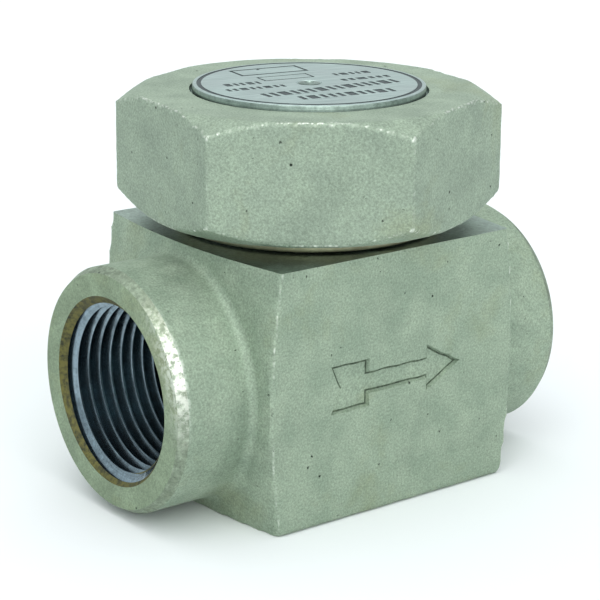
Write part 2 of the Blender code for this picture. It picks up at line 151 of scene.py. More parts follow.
@dataclass(frozen=True)
class BlastedSteel:
    """Cast or forged stainless steel, shot blasted.

    Matt, slightly greenish grey metal, mottled over a few millimetres, with a fine even grain, pits, smoky
    and olive stains, lighter metal where edges are worn and nicked, and a painted highlight on the inlet
    chamfer.
    """

    name: str
    base: str = "#ACBAA8"
    shade: str = "#99A997"
    smoke: str = "#66756A"
    olive: str = "#9AA07C"
    wear_and_glint_colour: str = "#E0E6DB"
    pit: str = "#2E362E"
    roughness: float = 0.72
    grain: float = 0.3  # mm; blasting grit leaves about 0.1 mm, drawn coarser so that it shows
    mottle: float = 4.5  # mm, and so are the next three
    stain: float = 15.0
    patch: float = 1.1  # of the breaks in the wear and between the pits
    pit_spacing: float = 1.7
    stain_amount: float = 0.2
    olive_amount: float = 0.3
    grain_height: float = 0.05  # mm
    seed: float = 0.0

    def material(self) -> bpy.types.Material:
        """Build the node tree."""
        material, shader = new_metal(self.name, self.roughness)
        tree = material.node_tree
        place = add_node(tree, "TexCoord").outputs["Object"]
        where = add_node(tree, "Mapping", {"Vector": place, "Location": (self.seed, self.seed, 0.0)}).outputs[0]
        pits = add_node(tree, "TexVoronoi", {"Vector": where, "Scale": grain_scale(self.pit_spacing)})
        grain, mottle, stain, breaks = (
            add_node(tree, "TexNoise", {
                "Vector": where, "Scale": grain_scale(size), "Detail": detail, "Roughness": rough,
                "Distortion": bent,
            })
            for size, detail, rough, bent in (
                (self.grain, 4.0, 0.7, 0.0),
                (self.mottle, 5.0, 0.6, 0.0),
                (self.stain, 6.0, 0.62, 0.4),
                (self.patch, 4.0, 0.7, 0.0),
            )
        )

        mottled = add_node(tree, "MapRange", {0: mottle.outputs[0], 1: 0.36, 2: 0.66})
        smoky = add_node(tree, "MapRange", {0: stain.outputs[0], 1: 0.54, 2: 0.74, 4: self.stain_amount})
        yellow = add_node(tree, "MapRange", {0: stain.outputs[0], 1: 0.46, 2: 0.32, 4: self.olive_amount})
        holes = add_node(tree, "MapRange", {0: pits.outputs["Distance"], 1: 0.16, 2: 0.08})
        rare = add_node(tree, "MapRange", {0: breaks.outputs[0], 1: 0.56, 2: 0.6})
        pitted = add_node(tree, "Math", {0: holes.outputs[0], 1: rare.outputs[0]}, operation="MULTIPLY")
        ground: object = linear(self.shade)
        for amount, tint in (
            (mottled, self.base), (smoky, self.smoke), (yellow, self.olive), (pitted, self.pit),
        ):
            ground = add_node(tree, "Mix", {
                0: amount.outputs[0], 6: ground, 7: linear(tint),
            }, data_type="RGBA").outputs[2]
        speckle = add_node(tree, "MapRange", {0: grain.outputs[0], 1: 0.3, 2: 0.7, 3: 0.72, 4: 1.26})
        grained = add_node(tree, "Mix", {
            0: 1.0, 6: ground, 7: speckle.outputs[0],
        }, data_type="RGBA", blend_type="MULTIPLY")

        # the wear mask also holds the highlight painted on the inlet hub's chamfer
        worn = add_node(tree, "Attribute", attribute_name=WEAR_AND_GLINT)
        patchy = add_node(tree, "MapRange", {0: breaks.outputs[0], 1: 0.42, 2: 0.56, 3: 0.1, 4: 1.1})
        rub_and_glint = add_node(tree, "Math", {
            0: worn.outputs["Fac"], 1: patchy.outputs[0],
        }, operation="MULTIPLY", use_clamp=True)
        finished = add_node(tree, "Mix", {
            0: rub_and_glint.outputs[0], 6: grained.outputs[2], 7: linear(self.wear_and_glint_colour),
        }, data_type="RGBA")
        tree.links.new(finished.outputs[2], shader.inputs["Base Color"])

        uneven = add_node(tree, "MapRange", {
            0: mottle.outputs[0], 1: 0.3, 2: 0.7, 3: self.roughness - 0.06, 4: self.roughness + 0.08,
        })
        sheen = add_node(tree, "Math", {
            0: rub_and_glint.outputs[0], 1: -0.4, 2: uneven.outputs[0],
        }, operation="MULTIPLY_ADD")
        tree.links.new(sheen.outputs[0], shader.inputs["Roughness"])

        relief = add_node(tree, "Math", {
            0: pitted.outputs[0], 1: -0.8, 2: grain.outputs[0],
        }, operation="MULTIPLY_ADD")
        bump = add_node(tree, "Bump", {
            "Height": relief.outputs[0], "Distance": self.grain_height * MM, "Strength": 1.0,
        })
        tree.links.new(bump.outputs[0], shader.inputs["Normal"])
        return material


@dataclass(frozen=True)
class TurnedSteel:
    """Steel cut on a lathe, or ground flat in rings.

    Fine concentric tool marks round an axis give long soft glints, and grime settles in patches.
    """

    name: str
    metal: str
    grime: str
    roughness: float
    axis: tuple[float, float, float] = (0.0, 0.0, 1.0)
    height: float = 0.0  # mm; where the axis crosses the plane x = y = 0, for an axis that lies flat
    mark_pitch: float = 0.35  # mm between tool marks, drawn about twice as wide as the real feed
    mark_height: float = 0.01
    grime_amount: float = 0.5
    grime_size: float = 2.5
    speckle_size: float = 0.45

    def material(self) -> bpy.types.Material:
        """Build the node tree."""
        material, shader = new_metal(self.name, self.roughness)
        tree = material.node_tree
        place = add_node(tree, "TexCoord").outputs["Object"]
        foot = (0.0, 0.0, self.height * MM)
        centred = add_node(tree, "VectorMath", {0: place, 1: foot}, operation="SUBTRACT").outputs[0]
        along = add_node(tree, "VectorMath", {0: centred, 1: self.axis}, operation="DOT_PRODUCT").outputs[1]
        on_axis = add_node(tree, "VectorMath", {0: self.axis, 3: along}, operation="SCALE").outputs[0]
        across = add_node(tree, "VectorMath", {0: centred, 1: on_axis}, operation="SUBTRACT").outputs[0]
        radius = add_node(tree, "VectorMath", {0: across}, operation="LENGTH").outputs[1]
        wander = add_node(tree, "Math", {0: along, 1: radius}, operation="ADD")
        marks = add_node(tree, "TexNoise", {
            "W": wander.outputs[0], "Scale": grain_scale(self.mark_pitch), "Detail": 3.0, "Roughness": 0.75,
        }, noise_dimensions="1D")
        dirt = add_node(tree, "TexNoise", {
            "Vector": place, "Scale": grain_scale(self.grime_size), "Detail": 6.0, "Roughness": 0.7,
        })
        speckle = add_node(tree, "TexNoise", {
            "Vector": place, "Scale": grain_scale(self.speckle_size), "Detail": 3.0, "Roughness": 0.7,
        })
        soiled = add_node(tree, "MapRange", {0: dirt.outputs[0], 1: 0.46, 2: 0.66, 4: self.grime_amount})
        dirty = add_node(tree, "Mix", {
            0: soiled.outputs[0], 6: linear(self.metal), 7: linear(self.grime),
        }, data_type="RGBA")
        banded = add_node(tree, "MapRange", {0: marks.outputs[0], 1: 0.3, 2: 0.7, 3: 0.82, 4: 1.14})
        dotted = add_node(tree, "MapRange", {0: speckle.outputs[0], 1: 0.3, 2: 0.7, 3: 0.82, 4: 1.16})
        both = add_node(tree, "Math", {0: banded.outputs[0], 1: dotted.outputs[0]}, operation="MULTIPLY")
        finished = add_node(tree, "Mix", {
            0: 1.0, 6: dirty.outputs[2], 7: both.outputs[0],
        }, data_type="RGBA", blend_type="MULTIPLY")
        tree.links.new(finished.outputs[2], shader.inputs["Base Color"])
        uneven = add_node(tree, "MapRange", {
            0: dirt.outputs[0], 1: 0.35, 2: 0.65, 3: self.roughness * 0.85, 4: self.roughness * 1.3,
        })
        tree.links.new(uneven.outputs[0], shader.inputs["Roughness"])
        bump = add_node(tree, "Bump", {
            "Height": marks.outputs[0], "Distance": self.mark_height * MM, "Strength": 1.0,
        })
        tree.links.new(bump.outputs[0], shader.inputs["Normal"])
        return material


@dataclass(frozen=True)
class BrushedSheet:
    """Stainless sheet brushed in one direction: long fine streaks, a soft sheen and a few faint smears."""

    name: str = "stainless sheet, brushed"
    metal: str = "#D0DFDB"
    streak: str = "#9FB3AF"
    roughness: float = 0.34
    direction: float = math.radians(-10)  # of the brushing, in the plate's plane
    streak_width: float = 0.22  # mm; emery leaves about 0.05 mm, drawn coarser so that it shows
    streak_length: float = 7.0

    def material(self) -> bpy.types.Material:
        """Build the node tree."""
        material, shader = new_metal(self.name, self.roughness)
        tree = material.node_tree
        place = add_node(tree, "TexCoord").outputs["Object"]
        turn = (0.0, 0.0, -self.direction)
        turned = add_node(tree, "Mapping", {"Vector": place, "Rotation": turn}).outputs[0]
        length = grain_scale(self.streak_length)
        width = grain_scale(self.streak_width)
        drawn = add_node(tree, "Mapping", {"Vector": turned, "Scale": (length, width, width)}).outputs[0]
        streaks = add_node(tree, "TexNoise", {"Vector": drawn, "Scale": 1.0, "Detail": 3.0, "Roughness": 0.6})
        smear = add_node(tree, "TexNoise", {
            "Vector": place, "Scale": grain_scale(6.0), "Detail": 4.0, "Roughness": 0.6,
        })
        lined = add_node(tree, "MapRange", {0: streaks.outputs[0], 1: 0.3, 2: 0.7})
        colour = add_node(tree, "Mix", {
            0: lined.outputs[0], 6: linear(self.streak), 7: linear(self.metal),
        }, data_type="RGBA")
        tree.links.new(colour.outputs[2], shader.inputs["Base Color"])
        uneven = add_node(tree, "MapRange", {
            0: smear.outputs[0], 1: 0.35, 2: 0.7, 3: self.roughness - 0.05, 4: self.roughness + 0.12,
        })
        tree.links.new(uneven.outputs[0], shader.inputs["Roughness"])
        bump = add_node(tree, "Bump", {"Height": streaks.outputs[0], "Distance": 0.006 * MM, "Strength": 1.0})
        tree.links.new(bump.outputs[0], shader.inputs["Normal"])
        return material


@dataclass(frozen=True)
class Coating:
    """A thin uneven layer that isn't bare metal: enamel in the marks, or cutting oil dried on a port's edge."""

    name: str
    colour: str
    patch: str
    roughness: float
    patch_size: float
    metallic: float = 0.0
    relief: float = 0.03

    def material(self) -> bpy.types.Material:
        """Build the node tree."""
        material, shader = new_metal(self.name, self.roughness, self.metallic)
        tree = material.node_tree
        place = add_node(tree, "TexCoord").outputs["Object"]
        noise = add_node(tree, "TexNoise", {
            "Vector": place, "Scale": grain_scale(self.patch_size), "Detail": 5.0, "Roughness": 0.7,
        })
        patchy = add_node(tree, "MapRange", {0: noise.outputs[0], 1: 0.42, 2: 0.62})
        colour = add_node(tree, "Mix", {
            0: patchy.outputs[0], 6: linear(self.colour), 7: linear(self.patch),
        }, data_type="RGBA")
        tree.links.new(colour.outputs[2], shader.inputs["Base Color"])
        bump = add_node(tree, "Bump", {
            "Height": noise.outputs[0], "Distance": self.relief * MM, "Strength": 1.0,
        })
        tree.links.new(bump.outputs[0], shader.inputs["Normal"])
        return material


class Bench:
    """Hand tools for mesh work. Sizes are in millimetres, and each tool starts from a clean selection."""

    @staticmethod
    def hold(obj: bpy.types.Object) -> None:
        """Select one object alone and make it active."""
        bpy.ops.object.select_all(action="DESELECT")
        obj.select_set(True)
        bpy.context.view_layer.objects.active = obj

    @staticmethod
    def trace(name: str, points: Sequence[tuple[float, float, float]]) -> bpy.types.Object:
        """Draw a chain of edges, and leave it in edit mode.

        Args:
            name: the object's name.
            points: the chain's corners.

        Returns:
            The object, in edit mode with its last corner selected.
        """
        bpy.ops.object.select_all(action="DESELECT")
        bpy.ops.mesh.primitive_plane_add(size=MM)
        obj = bpy.context.object
        obj.name = name
        bpy.ops.object.mode_set(mode="EDIT")
        bpy.ops.mesh.select_mode(type="VERT")
        bpy.ops.mesh.select_all(action="SELECT")
        bpy.ops.mesh.merge(type="CENTER")
        bpy.ops.transform.translate(value=Vector(points[0]) * MM)
        for start, end in zip(points, points[1:]):
            step = (Vector(end) - Vector(start)) * MM
            bpy.ops.mesh.extrude_region_move(TRANSFORM_OT_translate={"value": step})
        return obj

    @staticmethod
    def weld() -> None:
        """Merge what touches, point the faces outwards and leave edit mode."""
        bpy.ops.mesh.select_all(action="SELECT")
        bpy.ops.mesh.remove_doubles(threshold=WELD * MM)
        bpy.ops.mesh.normals_make_consistent(inside=False)
        bpy.ops.object.mode_set(mode="OBJECT")

    @staticmethod
    def lathe(
        name: str, profile: Profile, steps: int, finishes: Sequence[bpy.types.Material]
    ) -> bpy.types.Object:
        """Spin a profile about +Z.

        Args:
            name: the object's name.
            profile: (radius, height) points. One that starts and ends on the axis makes a solid, and any
                other is closed into a ring.
            steps: facets round the axis.
            finishes: one material for all of it, or one for each stretch of the profile.

        Returns:
            The turned piece, standing on its own origin.
        """
        points = list(profile)
        if profile[0][0] > 0.0 or profile[-1][0] > 0.0:
            points.append(profile[0])
        piece = Bench.trace(name, [(radius, 0.0, height) for radius, height in points])
        bpy.ops.mesh.select_all(action="SELECT")
        bpy.ops.mesh.spin(steps=steps, angle=math.tau, center=(0, 0, 0), axis=(0, 0, 1))
        Bench.weld()
        Bench.dress_stretches(piece, points, finishes)
        return piece

    @staticmethod
    def dress_stretches(
        piece: bpy.types.Object, points: Profile, finishes: Sequence[bpy.types.Material]
    ) -> None:
        """Give each face of a turned piece the finish of the stretch of profile that it came from.

        Args:
            piece: the turned piece.
            points: its closed profile.
            finishes: one material for all of it, or one for each stretch.
        """
        slots = list(dict.fromkeys(finishes))
        for material in slots:
            piece.data.materials.append(material)
        if len(slots) < 2:
            return
        ends = np.array(points) * MM
        start, run = ends[:-1], ends[1:] - ends[:-1]
        for polygon in piece.data.polygons:
            centre = np.array((math.hypot(polygon.center.x, polygon.center.y), polygon.center.z))
            share = ((centre - start) * run).sum(1) / (run * run).sum(1)
            nearest = start + run * np.clip(share, 0.0, 1.0)[:, None]
            stretch = int(np.argmin(((nearest - centre) ** 2).sum(1)))
            polygon.material_index = slots.index(finishes[min(stretch, len(finishes) - 1)])

    @staticmethod
    def thread(
        name: str, pitch: float, crest: float, depth: float, crest_flat: float, length: float,
        finish: bpy.types.Material, drop: float = 0.0, taper: float = 0.0,
    ) -> bpy.types.Object:
        """Wind a rod along +Z with a right-hand 60 degree thread and flat ends.

        Args:
            name: the object's name.
            pitch: rise in one turn.
            crest: radius at the thread's crest.
            depth: from crest to root.
            crest_flat: width of the flat on the crest.
            length: of the rod.
            finish: its material.
            drop: how far the thread is dropped without moving the rod's ends.
            taper: loss of radius for each unit of length.

        Returns:
            The rod, standing on its own origin.
        """
        root = crest - depth
        flank = depth * FLANK_SLOPE
        turns_below = 2
        base = -drop - turns_below * pitch
        tooth = [
            (crest, 0.0, base),
            (crest, 0.0, base + crest_flat),
            (root, 0.0, base + crest_flat + flank),
            (root, 0.0, base + pitch - flank),
            (crest, 0.0, base + pitch),
        ]
        rod = Bench.trace(name, tooth)
        bpy.ops.object.mode_set(mode="OBJECT")
        turns = math.ceil(length / pitch) + turns_below + 1
        Bench.apply(
            rod, "SCREW", axis="Z", screw_offset=pitch * MM, iterations=turns, steps=THREAD_STEPS,
            render_steps=THREAD_STEPS,
        )
        bpy.ops.object.mode_set(mode="EDIT")
        bpy.ops.mesh.select_all(action="SELECT")
        bpy.ops.mesh.remove_doubles(threshold=WELD * MM)
        for height, outward in ((0.0, -1.0), (length, 1.0)):
            bpy.ops.mesh.select_all(action="SELECT")
            bpy.ops.mesh.bisect(
                plane_co=(0.0, 0.0, height * MM), plane_no=(0.0, 0.0, outward),
                use_fill=True, clear_outer=True, threshold=WELD / 10 * MM,
            )
        Bench.weld()
        if taper:
            loss = -taper * length / crest
            Bench.apply(rod, "SIMPLE_DEFORM", deform_method="TAPER", deform_axis="Z", factor=loss)
        rod.data.materials.append(finish)
        return rod

    @staticmethod
    def ragged_outline(outline: Profile, ragged: float, spacing: float, seed: int) -> list[tuple[float, float]]:
        """Put straying points between the corners of an outline, which stay where they are.

        Args:
            outline: (x, y) corners.
            ragged: how far the points stray from straight lines.
            spacing: between the points.
            seed: of their straying.

        Returns:
            All the points in order.
        """
        stray = random.Random(seed)
        points = []
        for start, end in zip(outline, (*outline[1:], outline[0])):
            points.append(start)
            steps = round(math.dist(start, end) / spacing)
            for step in range(1, steps):
                x, y = (
                    a + (b - a) * step / steps + stray.uniform(-ragged, ragged) for a, b in zip(start, end)
                )
                points.append((x, y))
        return points

    @staticmethod
    def sunk_outline(
        name: str, outline: Profile, depth: float, draft: float, painted_shade_width: float,
        metal: bpy.types.Material, grime: bpy.types.Material,
    ) -> bpy.types.Object:
        """Make a tool for a recess: an outline with straight walls above z = 0 and sloping walls below.

        Args:
            name: the object's name.
            outline: (x, y) corners.
            depth: of the recess.
            draft: how far the walls lean inwards on their way down.
            painted_shade_width: width of the dark strip along the foot of the walls, painted shade in the
                recess's corner.
            metal: material of the recess.
            grime: material of that strip, a dark colour painted as the corner's shade.

        Returns:
            The tool.
        """
        tool = Bench.trace(name, [(x, y, CLEAR) for x, y in (*outline, outline[0])])
        bpy.ops.mesh.select_all(action="SELECT")
        bpy.ops.mesh.remove_doubles(threshold=WELD * MM)
        bpy.ops.mesh.select_all(action="SELECT")
        bpy.ops.mesh.edge_face_add()
        bpy.ops.mesh.select_mode(type="FACE")
        bpy.ops.mesh.select_all(action="SELECT")
        bpy.ops.mesh.extrude_region_move(TRANSFORM_OT_translate={"value": (0.0, 0.0, -CLEAR * MM)})
        bpy.ops.mesh.inset(thickness=draft * MM, depth=0.0)
        bpy.ops.transform.translate(value=(0.0, 0.0, -depth * MM))
        bpy.ops.mesh.inset(thickness=painted_shade_width * MM, depth=0.0)
        Bench.weld()
        tool.data.materials.append(metal)
        tool.data.materials.append(grime)
        below_walls = -0.75 * depth * MM
        foot = [polygon for polygon in tool.data.polygons if polygon.center.z < below_walls]
        middle = max(foot, key=lambda polygon: polygon.area)
        # the floor's outer strip takes the second finish: painted shade along the foot of the walls
        for polygon in foot:
            polygon.material_index = int(polygon.index != middle.index)
        return tool

    @staticmethod
    def box(
        name: str, low: tuple[float, float, float], high: tuple[float, float, float],
        finish: bpy.types.Material,
    ) -> bpy.types.Object:
        """Add a box between two corners, and apply its size and place.

        Args:
            name: the object's name.
            low: its lowest corner.
            high: its highest corner.
            finish: its material.

        Returns:
            The box.
        """
        centre = (Vector(low) + Vector(high)) / 2 * MM
        size = (Vector(high) - Vector(low)) * MM
        bpy.ops.object.select_all(action="DESELECT")
        bpy.ops.mesh.primitive_cube_add(size=1.0, location=centre)
        piece = bpy.context.object
        piece.name = name
        piece.scale = size
        piece.data.materials.append(finish)
        Bench.settle(piece)
        return piece

    @staticmethod
    def settle(obj: bpy.types.Object) -> None:
        """Put the object's place, turn and scale into its mesh."""
        Bench.hold(obj)
        bpy.ops.object.transform_apply(location=True, rotation=True, scale=True)

    @staticmethod
    def move(
        obj: bpy.types.Object, x: float = 0.0, y: float = 0.0, z: float = 0.0,
        turn: tuple[float, float, float] = (0.0, 0.0, 0.0),
    ) -> bpy.types.Object:
        """Turn a piece about its origin, then move it, and apply both.

        Args:
            obj: the piece.
            x: move along X.
            y: move along Y.
            z: move along Z.
            turn: Euler angles.

        Returns:
            The same piece.
        """
        obj.rotation_euler = turn
        obj.location = (x * MM, y * MM, z * MM)
        Bench.settle(obj)
        return obj

    @staticmethod
    def lay_along_hubs(obj: bpy.types.Object, side: Side, x: float, z: float) -> bpy.types.Object:
        """Lay a piece turned about +Z along the hubs' axis, pointing into the body from one side."""
        return Bench.move(obj, x=x, z=z, turn=(0.0, side.value * math.pi / 2, 0.0))

    @staticmethod
    def apply(obj: bpy.types.Object, kind: str, **settings: object) -> None:
        """Add a modifier with its settings and apply it."""
        Bench.hold(obj)
        modifier = obj.modifiers.new(kind.lower(), kind)
        for name, value in settings.items():
            setattr(modifier, name, value)
        bpy.ops.object.modifier_apply(modifier=modifier.name)

    @staticmethod
    def cut(target: bpy.types.Object, tool: bpy.types.Object, how: Cut = Cut.TAKE_AWAY) -> None:
        """Use a tool on a piece. The tool's finish goes on the faces it leaves, and the tool is used up."""
        Bench.apply(
            target, "BOOLEAN", object=tool, operation=how.value, solver="EXACT", material_mode="TRANSFER",
        )
        bpy.data.objects.remove(tool, do_unlink=True)

    @staticmethod
    def round_edges(
        obj: bpy.types.Object, picked: Callable[[Vector, Vector], bool], radius: float, segments: int
    ) -> None:
        """Round some of a piece's edges.

        Args:
            obj: the piece.
            picked: tells from an edge's two ends whether it is rounded.
            radius: of the rounding.
            segments: facets across it.
        """
        Bench.hold(obj)
        for edge in obj.data.edges:
            edge.select = picked(*(obj.data.vertices[index].co for index in edge.vertices))
        for item in (*obj.data.polygons, *obj.data.vertices):
            item.select = False
        bpy.ops.object.mode_set(mode="EDIT")
        bpy.ops.mesh.select_mode(type="EDGE")
        bpy.ops.mesh.bevel(offset=radius * MM, segments=segments, profile=0.5)
        bpy.ops.object.mode_set(mode="OBJECT")

    @staticmethod
    def roughcast(obj: bpy.types.Object, voxel: float, wave_size: float, wave_height: float) -> None:
        """Soften a hard shape into a casting: even mesh, rounded edges and slightly wavy faces.

        Args:
            obj: the piece.
            voxel: size of the new mesh's faces.
            wave_size: width of the waves.
            wave_height: from trough to crest.
        """
        Bench.apply(obj, "REMESH", mode="VOXEL", voxel_size=voxel * MM)
        Bench.apply(obj, "SMOOTH", factor=0.5, iterations=1)
        waves = bpy.data.textures.new(f"{obj.name} waves", "CLOUDS")
        waves.noise_scale = wave_size * MM
        waves.noise_depth = 2
        Bench.apply(
            obj, "DISPLACE", texture=waves, texture_coords="LOCAL", strength=wave_height * MM, mid_level=0.5,
        )

    @staticmethod
    def edge_bend(obj: bpy.types.Object, spread: int) -> np.ndarray:
        """Measure how far each vertex stands out as an edge or corner.

        Args:
            obj: the piece, in a mesh of even faces.
            spread: rounds of averaging with the neighbours.

        Returns:
            One number for each vertex, near 0 on a flat face and 0.2 or more on a sharp edge.
        """
        mesh = obj.data
        count = len(mesh.vertices)
        points = np.empty(count * 3)
        mesh.vertices.foreach_get("co", points)
        points = points.reshape(-1, 3)
        normals = np.empty(count * 3, np.float32)
        mesh.vertex_normals.foreach_get("vector", normals)
        normals = normals.reshape(-1, 3)
        pairs = np.empty(len(mesh.edges) * 2, np.int32)
        mesh.edges.foreach_get("vertices", pairs)
        first, second = pairs.reshape(-1, 2).T
        run = points[second] - points[first]
        run /= np.linalg.norm(run, axis=1)[:, None] + 1e-12
        joined = np.bincount(pairs, minlength=count)
        falls = np.bincount(first, -(run * normals[first]).sum(1), count)
        falls += np.bincount(second, (run * normals[second]).sum(1), count)
        bend = falls / joined
        for _ in range(spread):
            around = np.bincount(first, bend[second], count) + np.bincount(second, bend[first], count)
            bend = (bend + around / joined) / 2
        return bend

    @staticmethod
    def nick_edges(
        obj: bpy.types.Object, low: float, high: float, size: float = 0.9, depth: float = 0.5
    ) -> None:
        """Dent a piece's edges unevenly, as knocks in handling do.

        Args:
            obj: the piece.
            low: the bend at which the dents begin.
            high: the bend at which they are full.
            size: width of a dent.
            depth: of the deepest.
        """
        bend = Bench.edge_bend(obj, spread=1)
        weight = np.clip((bend - low) / (high - low), 0.0, 1.0)
        group = obj.vertex_groups.new(name="edges")
        for vertex in np.flatnonzero(weight > 0.0):
            group.add([int(vertex)], float(weight[vertex]), "REPLACE")
        dents = bpy.data.textures.new(f"{obj.name} dents", "CLOUDS")
        dents.noise_scale = size * MM
        dents.noise_depth = 3
        Bench.apply(
            obj, "DISPLACE", texture=dents, texture_coords="LOCAL", vertex_group="edges",
            strength=depth * MM, mid_level=0.55,
        )
        obj.vertex_groups.clear()

    @staticmethod
    def finish(obj: bpy.types.Object, node: str, body: str, slot: str) -> None:
        """Shade a piece, hang it on its body and hide the CAD node that it stands for.

        Args:
            obj: the piece.
            node: the CAD node that it replaces.
            body: the CAD body that it rides on.
            slot: not used.
        """
        Bench.hold(obj)
        bpy.ops.object.shade_smooth_by_angle(angle=SMOOTH_ANGLE)
        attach(obj, body)
        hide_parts(node)
        low, high = obj.bound_box[0], obj.bound_box[6]
        size = " x ".join(f"{(b - a) / MM:.2f}" for a, b in zip(low, high))
        log.info("%s: %s mm, %d faces, on %s", obj.name, size, len(obj.data.polygons), body)


class EdgeWear:
    """The wear on a casting's edges, measured before it is machined and marked on it afterwards.

    The machining splits faces and adds corners, and what it adds isn't worn.
    """

    def __init__(self, obj: bpy.types.Object, low: float, high: float) -> None:
        """Measure a casting.

        Args:
            obj: the piece, in a mesh of even faces.
            low: the bend at which wear begins.
            high: the bend at which it is full.
        """
        bend = Bench.edge_bend(obj, spread=0)
        self.wear = np.clip((bend - low) / (high - low), 0.0, 1.0)
        self.tree = KDTree(len(obj.data.vertices))
        for index, vertex in enumerate(obj.data.vertices):
            self.tree.insert(vertex.co, index)
        self.tree.balance()

    def mark(self, obj: bpy.types.Object) -> None:
        """Store the wear on the machined piece, for its finish to read."""
        same_place = 0.005 * MM
        marks = np.zeros(len(obj.data.vertices), np.float32)
        for index, vertex in enumerate(obj.data.vertices):
            _, nearest, distance = self.tree.find(vertex.co)
            if distance < same_place:
                marks[index] = self.wear[nearest]
        attribute = obj.data.attributes.new(WEAR_AND_GLINT, "FLOAT", "POINT")
        attribute.data.foreach_set("value", marks)


def built(finish: BlastedSteel | TurnedSteel | BrushedSheet | Coating) -> bpy.types.Material:
    """Make a field that holds this finish's material, built when the set of finishes is."""
    return field(default_factory=finish.material)


@dataclass(frozen=True)
class Finishes:
    """All the finishes of the trap, each built once."""

    casting: bpy.types.Material = built(BlastedSteel("cast stainless steel, shot blasted"))
    forging: bpy.types.Material = built(BlastedSteel(
        "forged stainless steel, shot blasted", base="#A9B7A6", shade="#9AA898", stain_amount=0.25,
        olive_amount=0.35, seed=0.37))
    # painted shade: a dark finish for the strip round the foot of the arrow's walls, where the recess's corner
    # falls into shade
    recess_painted_shade: bpy.types.Material = built(BlastedSteel(
        "cast stainless steel, painted shade in the corners", base="#7C8A77", shade="#4C584B", mottle=0.8,
        grain=0.6, seed=0.2))
    milled: bpy.types.Material = built(BlastedSteel(
        "cast stainless steel, milled and blasted", base="#ACBDB2", shade="#98A99D", stain_amount=0.4,
        roughness=0.36, grain=0.5, seed=0.61))
    faced: bpy.types.Material = built(BlastedSteel(
        "cast stainless steel, faced and blasted", base="#9FAF97", shade="#8A9982", grain=0.26,
        olive_amount=0.5, seed=0.83))
    # on the inlet hub this finish's lighter wear colour paints a highlight on one quarter of the chamfer
    chamfer: bpy.types.Material = built(BlastedSteel(
        "cast stainless steel, chamfered and knocked", base="#A2AF9C", shade="#7E8A78", wear_and_glint_colour="#EEF0E6",
        mottle=1.4, grain=0.4, roughness=0.6, grain_height=0.09, seed=0.47))
    thread: bpy.types.Material = built(TurnedSteel(
        "stainless steel, tapped thread", metal="#8C9EA8", grime="#46525A", roughness=0.2,
        axis=(1.0, 0.0, 0.0), height=HUB_AXIS, mark_pitch=0.25, mark_height=0.008))
    bore: bpy.types.Material = built(TurnedSteel(
        "stainless steel, drilled", metal="#8D9C9C", grime="#56615F", roughness=0.3,
        axis=(1.0, 0.0, 0.0), height=HUB_AXIS, mark_height=0.02))
    oiled: bpy.types.Material = built(Coating(
        "cutting oil residue, dried", colour="#63602F", patch="#2E3120", roughness=0.5, patch_size=0.9,
        metallic=0.4))
    neck: bpy.types.Material = built(TurnedSteel(
        "stainless steel, turned thread", metal="#9DAAA6", grime="#5A6561", roughness=0.28))
    ground: bpy.types.Material = built(TurnedSteel(
        "hardened stainless steel, ground and lapped", metal="#C9CFCE", grime="#9AA3A1", roughness=0.16,
        grime_amount=0.25, mark_height=0.004))
    turned: bpy.types.Material = built(TurnedSteel(
        "stainless steel, turned", metal="#98A9A0", grime="#56625B", roughness=0.36, mark_height=0.015))
    soft_iron: bpy.types.Material = built(TurnedSteel(
        "soft iron, zinc plated", metal="#B9B59C", grime="#7B7760", roughness=0.42, grime_size=1.8))
    sheet: bpy.types.Material = built(BrushedSheet())
    # also paints the floor of the rivet's hollow dark, as painted shade
    ink_and_painted_shade: bpy.types.Material = built(Coating(
        "enamel, filled into the plate's marks", colour="#1E2B2D", patch="#2E3D3E", roughness=0.45,
        patch_size=1.2, relief=0.01))


@dataclass(frozen=True)
class FlowArrow:
    """The arrow sunk in the block's front, pointing from the inlet to the outlet."""

    half_length: float = 11.8
    head: float = 6.3
    tail: float = 6.8
    notch: float = 1.6
    wide: float = 3.5  # half widths of its ends and of its middle
    narrow: float = 1.6
    z: float = 19.6
    depth: float = 0.5
    draft: float = 0.22
    # the strip round the floor takes a dark finish as painted shade in the recess's corner
    painted_shade_width: float = 0.26
    ragged: float = 0.09
    ragged_spacing: float = 1.3
    seed: int = 4

    def tool(self, face: float, finishes: Finishes) -> bpy.types.Object:
        """Shape the tool that sinks it.

        Args:
            face: distance of the block's front from the middle.
            finishes: the trap's finishes.

        Returns:
            The tool, in its place.
        """
        upper = [
            (-self.half_length, self.wide),
            (self.tail - self.half_length, self.wide),
            (self.tail - self.half_length, self.narrow),
            (self.half_length - self.head, self.narrow),
            (self.half_length - self.head, self.wide),
        ]
        lower = [(x, -y) for x, y in reversed(upper)]
        outline = [(self.notch - self.half_length, 0.0), *upper, (self.half_length, 0.0), *lower]
        # the second finish paints shade on the strip round the recess floor
        tool = Bench.sunk_outline(
            "arrow", Bench.ragged_outline(outline, self.ragged, self.ragged_spacing, self.seed),
            self.depth, self.draft, self.painted_shade_width, metal=finishes.casting, grime=finishes.recess_painted_shade,
        )
        return Bench.move(tool, y=-face, z=self.z, turn=(math.pi / 2, 0.0, 0.0))


